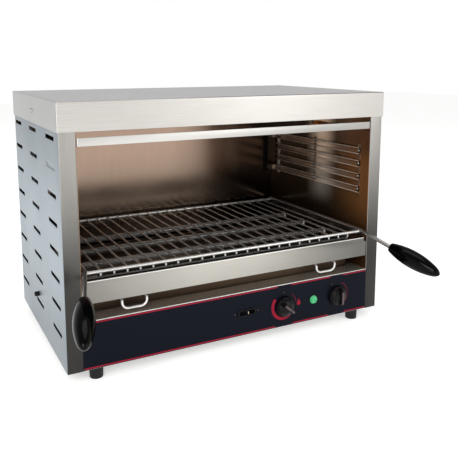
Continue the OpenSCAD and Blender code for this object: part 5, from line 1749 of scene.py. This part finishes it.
@dataclass
class CrumbDrawer:
    """The crumb tray with a hemmed rim, and its two wire loops."""

    sheet_t: float = 0.8
    corner: float = 3.0
    fold: float = 1.6
    hem_w: float = 1.7
    hem_h: float = 4.5
    floor_band: float = 40.0
    loop_wire: float = 4.0
    loop_w: float = 48.0
    loop_r: float = 11.0
    loop_bend_r: float = 4.0
    loop_weld: Triple = (2.8, 1.2, 2.6)

    def pan(self) -> None:
        """The pan: a section from under its floor, up the wall, round the hem and back to the floor,
        carried round a rectangle."""
        box = Box.of("crumb_tray")
        height, fold, t = box.high[2] - box.low[2], self.fold, self.sheet_t
        turn = np.linspace(0, np.pi / 2, 5)[:, None]
        half, band, hem_r = box.half[1], self.floor_band, self.hem_w / 2
        outer = fold * np.concatenate([1 - np.sin(turn), 1 - np.cos(turn)], 1)
        over = np.linspace(0, np.pi, 7)[:, None]
        hem = np.concatenate([1 - np.cos(over), np.sin(over)], 1) * hem_r + [0, height - hem_r]
        inner = (fold - t) * np.concatenate([1 - np.cos(turn), 1 - np.sin(turn)], 1) + t
        section = np.concatenate([[[half, 0], [band, 0]], outer, hem,
                                  [[self.hem_w, height - self.hem_h], [t, height - self.hem_h - 0.3]], inner,
                                  [[band, t], [half, t]]])
        pan = boxed([*box.centre[:2], box.low[2]], box.half[:2], section, self.corner)
        put("crumb_pan", pan, Finishes.TRAY, "crumb_tray", "base_steel", Body.DRAWER, crease=40)

    def loops(self) -> None:
        """The loops: a wire that runs forward from the pan's rim on both sides, turns down and closes in a
        wide U."""
        box, tray = Box.of("tray_loops"), Box.of("crumb_tray")
        leg, wire = (self.loop_w - self.loop_wire) / 2, self.loop_wire / 2
        front, rear = box.low[1] + wire, tray.low[1] + 0.2
        low, z = box.low[2] + wire, box.high[2] - wire
        x = box.high[0] - self.loop_w / 2
        right = [(x + leg, rear, z), (x + leg, front, z), (x + leg, front, low)]
        left = [(2 * x - px, py, pz) for px, py, pz in right[::-1]]
        line = filleted(right + left, (self.loop_bend_r, self.loop_r, self.loop_r, self.loop_bend_r), 9)
        loop = round_bar(line, self.loop_wire, 16, domed=False)
        put("pull_loops", both_sides(loop), Finishes.LOOP, "tray_loops", "chrome_wire", Body.DRAWER,
            crease=50)
        welds = joined([blob((end, rear - 0.4, z), self.loop_weld) for end in (x - leg, x + leg)])
        put("pull_loop_welds", both_sides(welds), Finishes.WELD, "tray_loops", "chrome_wire", Body.DRAWER,
            crease=60)

    def build(self) -> None:
        """Makes the drawer's pieces."""
        self.pan()
        self.loops()


# ---- control panel


@dataclass
class ControlPanel:
    """The printed panel with its two knobs, signal lamp and rocker switch."""

    nodes: dict[str, bpy.types.Object]
    knob_d: float = 40.0
    knob_h: float = 21.0
    skirt_h: float = 7.0
    bar_w: float = 9.0
    bar_rise: float = 5.0
    spindle_in: float = 14.0
    knob_hollow: Pair = (7.0, 2.5)
    pointer_rest: Pair = (140.0, 90.0)
    # Painted highlights along the knob bar's edges: their span along the bar and their edges across it.
    highlight_span: Pair = (-12.3, 12.3)
    highlight_lines: tuple[Pair, ...] = ((-1.4, -0.7), (0.7, 1.4))
    ink_t: float = 0.06
    stripe: Pair = (1.1, 3.4)
    ring_r: float = 42.6
    crescent: tuple[float, float, float, float] = (141.0, 322.0, 22.3, 6.0)
    thin_arcs: tuple[tuple[float, ...], ...] = ((52.0, 8.0, 26.7, 27.3), (62.0, -40.0, 26.4, 27.1))
    dot_r: float = 0.9
    dot_reach: float = 27.0
    dot_turns: Pair = (1.62, 2.0)
    switch_dots: float = 24.5
    drop_at: Pair = (33.0, 3.0)
    drop_size: Pair = (4.4, 7.2)
    drop_waist: float = 0.35
    lens_waves: Pair = (2.1, 0.22)
    bezel: Triple = (2.0, 2.0, 26.0)
    well: Triple = (4.0, 2.5, 8.0)
    body_inset: Pair = (2.0, 1.25)
    rocker_tilt: float = 9.0
    rocker_axis_in: float = 0.5
    rocker_face: Triple = (1.8, 0.8, 14.5)
    mark_x: Pair = (1.0, 2.1)
    mark_half: float = 2.4

    def knob(self, name: str, body: Body, pointer: float) -> None:
        """A knob: a turned body with a tapered skirt and a domed face, and a tapered bar across it.

        The body's outline starts in the spindle's bore, runs under the hollow back, up the skirt and
        over the dome. The bar is a rectangle with round ends whose section draws in as it rises.
        """
        box, spindle = Box.of(f"{name}_knob"), Box.of(f"{name}_spindle")
        radius = self.knob_d / 2
        face = self.knob_h - self.bar_rise
        dome_r = self.knob_d * 0.62
        across = np.array([16.2, 15.0, 12.5, 9.0, 5.0, 0.0])
        dome = np.stack([across, face - dome_r + np.sqrt(dome_r ** 2 - across ** 2)], axis=-1)
        bore, (wall, hollow) = spindle.half[0] + RUNNING_GAP, self.knob_hollow
        lower = [[0, self.spindle_in + 0.1], [bore, self.spindle_in + 0.1], [bore, hollow],
                 [radius - wall, hollow], [radius - wall, 0.3], [radius - wall + 0.3, 0],
                 [radius - 0.6, 0], [radius - 0.1, 0.5],
                 [radius - 1.2, self.skirt_h - 0.8], [radius - 1.6, self.skirt_h - 0.2],
                 [radius - 2.4, self.skirt_h], [radius - 2.9, self.skirt_h + 0.4],
                 [radius - 3.1, self.skirt_h + 1.2], [radius - 3.3, dome[0, 1] - 0.8]]
        body_shape = turned(np.concatenate([lower, dome]), (0, 0, 0), (0, 0, 1), 72)
        rise = np.array([[1.2, 0.0, 6.0], [2.0, 0.5, 12.0], [3.8, 1.3, 19.4], [4.2, 1.5, 20.2],
                         [5.0, 2.0, 20.8], [6.0, 2.8, 21.0], [7.7, self.bar_w / 2, 21.0]])
        bar = boxed((0, 0, 0), (radius - 1.5, self.bar_w / 2), rise, self.bar_w)
        origin = (spindle.centre[0], box.high[1], spindle.centre[2])
        shapes = [facing(spun(shape, pointer), origin) for shape in (body_shape, bar)]
        put(f"{name}_dial", shapes[0], Finishes.KNOB, f"{name}_knob", "knob_plastic", body, crease=38,
            fused=shapes[1])
        # Two pale lines along the bar's edges: painted highlights.
        lines = []
        for edges in self.highlight_lines:
            sheet = np.array([[[x, y, self.knob_h] for x in self.highlight_span] for y in edges])
            lines.append(self.inked(sheet, (0, 0, self.ink_t)))
        put(f"{name}_pointer", facing(spun(joined(lines), pointer), origin), Finishes.EDGE_HIGHLIGHT,
            f"{name}_knob", "knob_plastic", body)

    def inked(self, sheet: Array, out: Vector) -> Surface:
        """A closed film between a grid of points and the same grid moved outwards by the ink's
        thickness."""
        lifted = sheet + np.asarray(out, float)
        edges = [np.stack([sheet[i], lifted[i]]) for i in (0, -1)]
        edges += [np.stack([sheet[:, i], lifted[:, i]]) for i in (0, -1)]
        return joined([grid(sheet), grid(lifted), *map(grid, edges)])

    def printed(self, flat: Array) -> Surface:
        """Ink on the overlay's face, from a grid of places in X and Z."""
        front = Box.of("fascia_overlay").low[1]
        sheet = np.stack([flat[..., 0], np.full(flat.shape[:2], front), flat[..., 1]], axis=-1)
        return self.inked(sheet, (0, -self.ink_t, 0))

    def stripes(self) -> Surface:
        """Stripes along the overlay's top and bottom, which stop at a ring about each knob.

        At each of six heights across a stripe, a part runs from one ring to the next, and a ring cuts it
        at sqrt(ring radius ** 2 - height from the knob's axis ** 2) from the axis.
        """
        box = Box.of("fascia_overlay")
        knobs = [Box.of(f"{name}_spindle").centre for name in DIALS]
        near, far = self.stripe
        parts = []
        for edge, sign in ((box.high[2], -1), (box.low[2], 1)):
            z = edge + sign * np.linspace(near, far, 6)
            cut = [np.sqrt(np.clip(self.ring_r ** 2 - (z - knob[2]) ** 2, 0, None)) for knob in knobs]
            ends = [np.full(6, box.low[0] + 1.0), knobs[0][0] - cut[0], knobs[0][0] + cut[0],
                    knobs[1][0] - cut[1], knobs[1][0] + cut[1], np.full(6, box.high[0] - 1.0)]
            for start, stop in zip(ends[::2], ends[1::2]):
                across = start[:, None] + np.linspace(0, 1, 9) * (stop - start)[:, None]
                height = np.broadcast_to(z[:, None], across.shape)
                parts.append(self.printed(np.stack([across, height], -1)))
        return joined(parts)

    def arc(self, centre: Array, start: float, stop: float, inner: Array | float, outer: Array | float,
            count: int = 40) -> Surface:
        """A printed band between two radii, which may change along it."""
        turn = np.radians(np.linspace(start, stop, count))
        spoke = np.stack([np.cos(turn), np.sin(turn)], axis=-1)
        edges = [np.broadcast_to(r, count)[:, None] * spoke + centre[[0, 2]] for r in (inner, outer)]
        return self.printed(np.stack(edges))

    def print_marks(self) -> None:
        """The red scale about the thermostat's knob, thin arcs, the heat symbol and small dots."""
        knobs = [Box.of(f"{name}_spindle").centre for name in DIALS]
        start, stop, inner, width = self.crescent
        outer = inner + width * np.sqrt(1 - np.linspace(0, 1, 60) ** 3)
        marks = [self.stripes(), self.arc(knobs[0], start, stop, inner, outer + 0.02, 60)]
        marks += [self.arc(knob, *thin) for knob, thin in zip(knobs, self.thin_arcs)]
        marks.append(self.symbol(knobs[0] + [self.drop_at[0], 0, self.drop_at[1]]))
        put("overlay_red_print", joined(marks), Finishes.RED_INK, slot="overlay_print")
        places = [knob + self.dot_reach * np.array([math.cos(turn), 0, math.sin(turn)])
                  for knob, turn in zip(knobs, self.dot_turns)]
        places += [Box.of("switch_body").centre + [shift, 0, 0]
                   for shift in (-self.switch_dots, self.switch_dots)]
        dots = [self.arc(place, 0, 360, 0.05, self.dot_r, 12) for place in places]
        put("overlay_dots", joined(dots), Finishes.PINK_INK, slot="overlay_print")

    def symbol(self, centre: Array) -> Surface:
        """A drop that stands for heat: its half width at height h is that of a circle below the middle
        and of a drawn-out tip above it."""
        h, waist, (wide, tall) = np.linspace(-1, 1, 19), self.drop_waist, self.drop_size
        lower = np.sqrt(np.clip(1 - np.clip((h + waist) / (1 - waist), -1, 1) ** 2, 0, 1))
        upper = 0.98 * np.clip((1 - h) / (1 + waist), 0, 1) ** 1.5
        width = wide * np.where(h < -waist, lower, upper) + 0.03
        return self.printed(np.stack([np.stack([centre[0] + side * width, centre[2] + tall * h], -1)
                                      for side in (-1, 1)]))

    def lens(self) -> None:
        """The lamp's lens: a flange and a dome whose face is cut in small waves both ways."""
        box, around, (turns, deep) = Box.of("lamp_lens"), 56, self.lens_waves
        radius = box.half[0]
        r = np.linspace(radius - 1.6, 0, 15)
        dome = 2.6 + 2.3 * np.sqrt(1 - (r / (radius + 1)) ** 2)
        rim = [[0, 0], [radius - 0.3, 0], [radius, 0.3], [radius, 1.5], [radius - 0.5, 2.0],
               [radius - 1.4, 2.05], [radius - 1.6, 2.4]]
        outline = np.concatenate([rim, np.stack([r, dome], -1)])
        outline = np.repeat(outline[:, None], around, axis=1)
        x, y = np.moveaxis(outline[..., :1] * circle(1.0, around), -1, 0)
        wave = deep * np.cos(turns * x) * np.cos(turns * y) - deep
        outline[..., 1] += np.where(outline[..., 1] > 2.5, wave, 0)
        outline[..., 1] = np.minimum(outline[..., 1], 5.0)
        shape = turned(outline, (box.centre[0], box.high[1], box.centre[2]), (0, -1, 0), around)
        put("lamp_cap", shape, Finishes.LENS, "lamp_lens", "lens_green", crease=45)

    def switch(self) -> None:
        """The switch: a bezel with a rounded front, the well that the rocker sits in, and the body
        behind, as one section carried round a rectangle."""
        box = Box.of("switch_body")
        front, out, deep = self.bezel
        half = box.half[[0, 2]]
        well_x, well_z, well_deep = self.well
        body_x, body_z = self.body_inset
        section = np.array([[half[1], half[1], -deep], [body_x, body_z, -deep], [body_x, body_z, 0],
                            [0.2, 0.2, 0], [0, 0, 0.2], [0, 0, out - 0.7], [0.25, 0.25, out - 0.2],
                            [0.8, 0.8, out], [well_x - 0.6, well_z - 0.6, out],
                            [well_x - 0.1, well_z - 0.1, out - 0.3], [well_x, well_z, out - 0.9],
                            [well_x, well_z, -well_deep], [half[1], half[1], -well_deep]])
        origin = (box.centre[0], box.low[1] + out, box.centre[2])
        shape = facing(boxed((0, 0, 0), half, section, front), origin)
        put("switch_bezel", shape, Finishes.SWITCH, "switch_body", "switch_plastic", crease=35)
        dress(self.nodes, "rocker_button", Finishes.SWITCH, edge=0.35)
        crest, rise, reach = self.rocker_face
        x, z = np.array(self.mark_x), np.array([[-self.mark_half], [self.mark_half]])
        sheet = np.stack(np.broadcast_arrays(x, -crest - rise * x / reach, z), -1)
        pin_x, _, pin_z = Box.of("rocker_button").centre
        pin_y = Box.of("fascia_overlay").low[1] - self.rocker_axis_in
        mark = moved(spun(self.inked(sheet, (0, -self.ink_t, 0)), self.rocker_tilt), (pin_x, pin_y, pin_z))
        put("rocker_mark", mark, Finishes.MARK_INK, "rocker_button", "rocker_plastic", Body.ROCKER)

    def build(self) -> None:
        """Makes the controls and dresses what stays."""
        for name, body, rest in zip(DIALS, (Body.THERMOSTAT, Body.TIMER), self.pointer_rest):
            self.knob(name, body, rest)
        self.print_marks()
        self.lens()
        self.switch()
        for name, finish in {"control_fascia": Finishes.FASCIA, "fascia_overlay": Finishes.OVERLAY,
                             "thermostat_spindle": Finishes.SCREW, "timer_spindle": Finishes.SCREW,
                             "control_screws": Finishes.SCREW, "lamp_body": Finishes.SWITCH}.items():
            dress(self.nodes, name, finish)
        for name in DIALS:
            dress(self.nodes, f"{name}_body", Finishes.CONTROL, edge=0.5)


# ---- electrics


@dataclass
class Electrics:
    """The cable gland and the wiring behind the panels."""

    nodes: dict[str, bpy.types.Object]
    thread_d: float = 20.0
    nut_across: float = 27.0
    bore_d: float = 9.0
    dome: Pair = (23.0, 17.0)
    nut_share: float = 0.3
    inner: Pair = (8.0, 6.0)
    nut_corner: float = 0.35
    ribs: int = 12
    rib_deep: float = 0.35
    around: int = 96

    def gland(self) -> None:
        """The gland: a locknut inside the panel, and outside it a hexagon and a ribbed dome with the
        cable's bore.

        The hexagon's radius is its least one divided by the cosine of the angle from the nearest flat's
        middle, and the dome's ribs add a cosine to its radius.
        """
        box = Box.of("cable_gland")
        rear = Box.of("rear_panel")
        out = box.high[1] - rear.high[1]
        sheet = rear.high[1] - rear.low[1]
        depth, nut = self.inner
        turn = np.linspace(0, 2 * np.pi, self.around, endpoint=False)
        flat = np.abs(turn % (np.pi / 3) - np.pi / 6)
        hexagon = self.nut_across / 2 * math.cos(math.pi / 6) / np.cos(flat)
        rounded = np.minimum(hexagon, self.nut_across / 2 - self.nut_corner)
        rib = self.rib_deep * (np.cos(self.ribs * turn) - 1)
        plain = np.ones(self.around)
        nut_top = out * self.nut_share
        bore, thread = self.bore_d / 2, self.thread_d / 2
        wide, narrow = self.dome[0] / 2, self.dome[1] / 2
        rows = [(bore * plain, -sheet - depth), (thread * plain - 0.5, -sheet - depth),
                (thread * plain, -sheet - depth + 0.5), (thread * plain, -sheet - nut),
                (rounded - 0.6, -sheet - nut), (rounded, -sheet - nut + 0.6), (rounded, -sheet),
                (thread * plain, -sheet), (thread * plain, 0.0), (rounded, 0.0), (rounded, nut_top - 0.6),
                (rounded - 0.7, nut_top), (wide * plain, nut_top), (wide + rib, nut_top + 0.8),
                (wide - (wide - narrow) * 0.5 + rib, nut_top + (out - nut_top) * 0.55),
                (narrow + 1.0 + rib * 0.6, out - 2.6), (narrow * plain - 0.2, out - 0.8),
                (narrow * plain - 1.4, out), (bore * plain + 0.8, out), (bore * plain, out - 0.8),
                (bore * plain, -sheet - depth)]
        outline = np.array([np.stack([radius, height * plain], -1) for radius, height in rows])
        base = (box.centre[0], rear.high[1], box.centre[2])
        put("cord_gland", turned(outline, base, (0, 1, 0), self.around), Finishes.GLAND,
            "cable_gland", "switch_plastic", crease=35)

    def build(self) -> None:
        """Makes the gland and dresses the rest."""
        self.gland()
        dress(self.nodes, "terminal_block", Finishes.TERMINAL, edge=0.4)
        dress(self.nodes, "wiring_harness", Finishes.CABLE)
        dress(self.nodes, "sensing_bulb", Finishes.COPPER)


def main() -> None:
    """Builds the studio and each sub-assembly in order, and writes the two boxes."""
    logging.basicConfig(level=logging.INFO, format="%(name)s %(levelname)s %(message)s")
    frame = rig.load()
    packed = [list(corner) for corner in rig.bounds()]
    nodes = frame["nodes"]
    parts = (Studio(), Casing(nodes), Chamber(nodes), HeatingTubes(nodes), Rack(), CrumbDrawer(),
             ControlPanel(nodes), Electrics(nodes))
    for part in parts:
        part.build()
    with open(SIZE_FILE, "w", encoding="utf-8") as file:
        json.dump({"packed": packed, "visual": [list(corner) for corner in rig.bounds()]}, file)


if __name__ == "__main__":
    main()
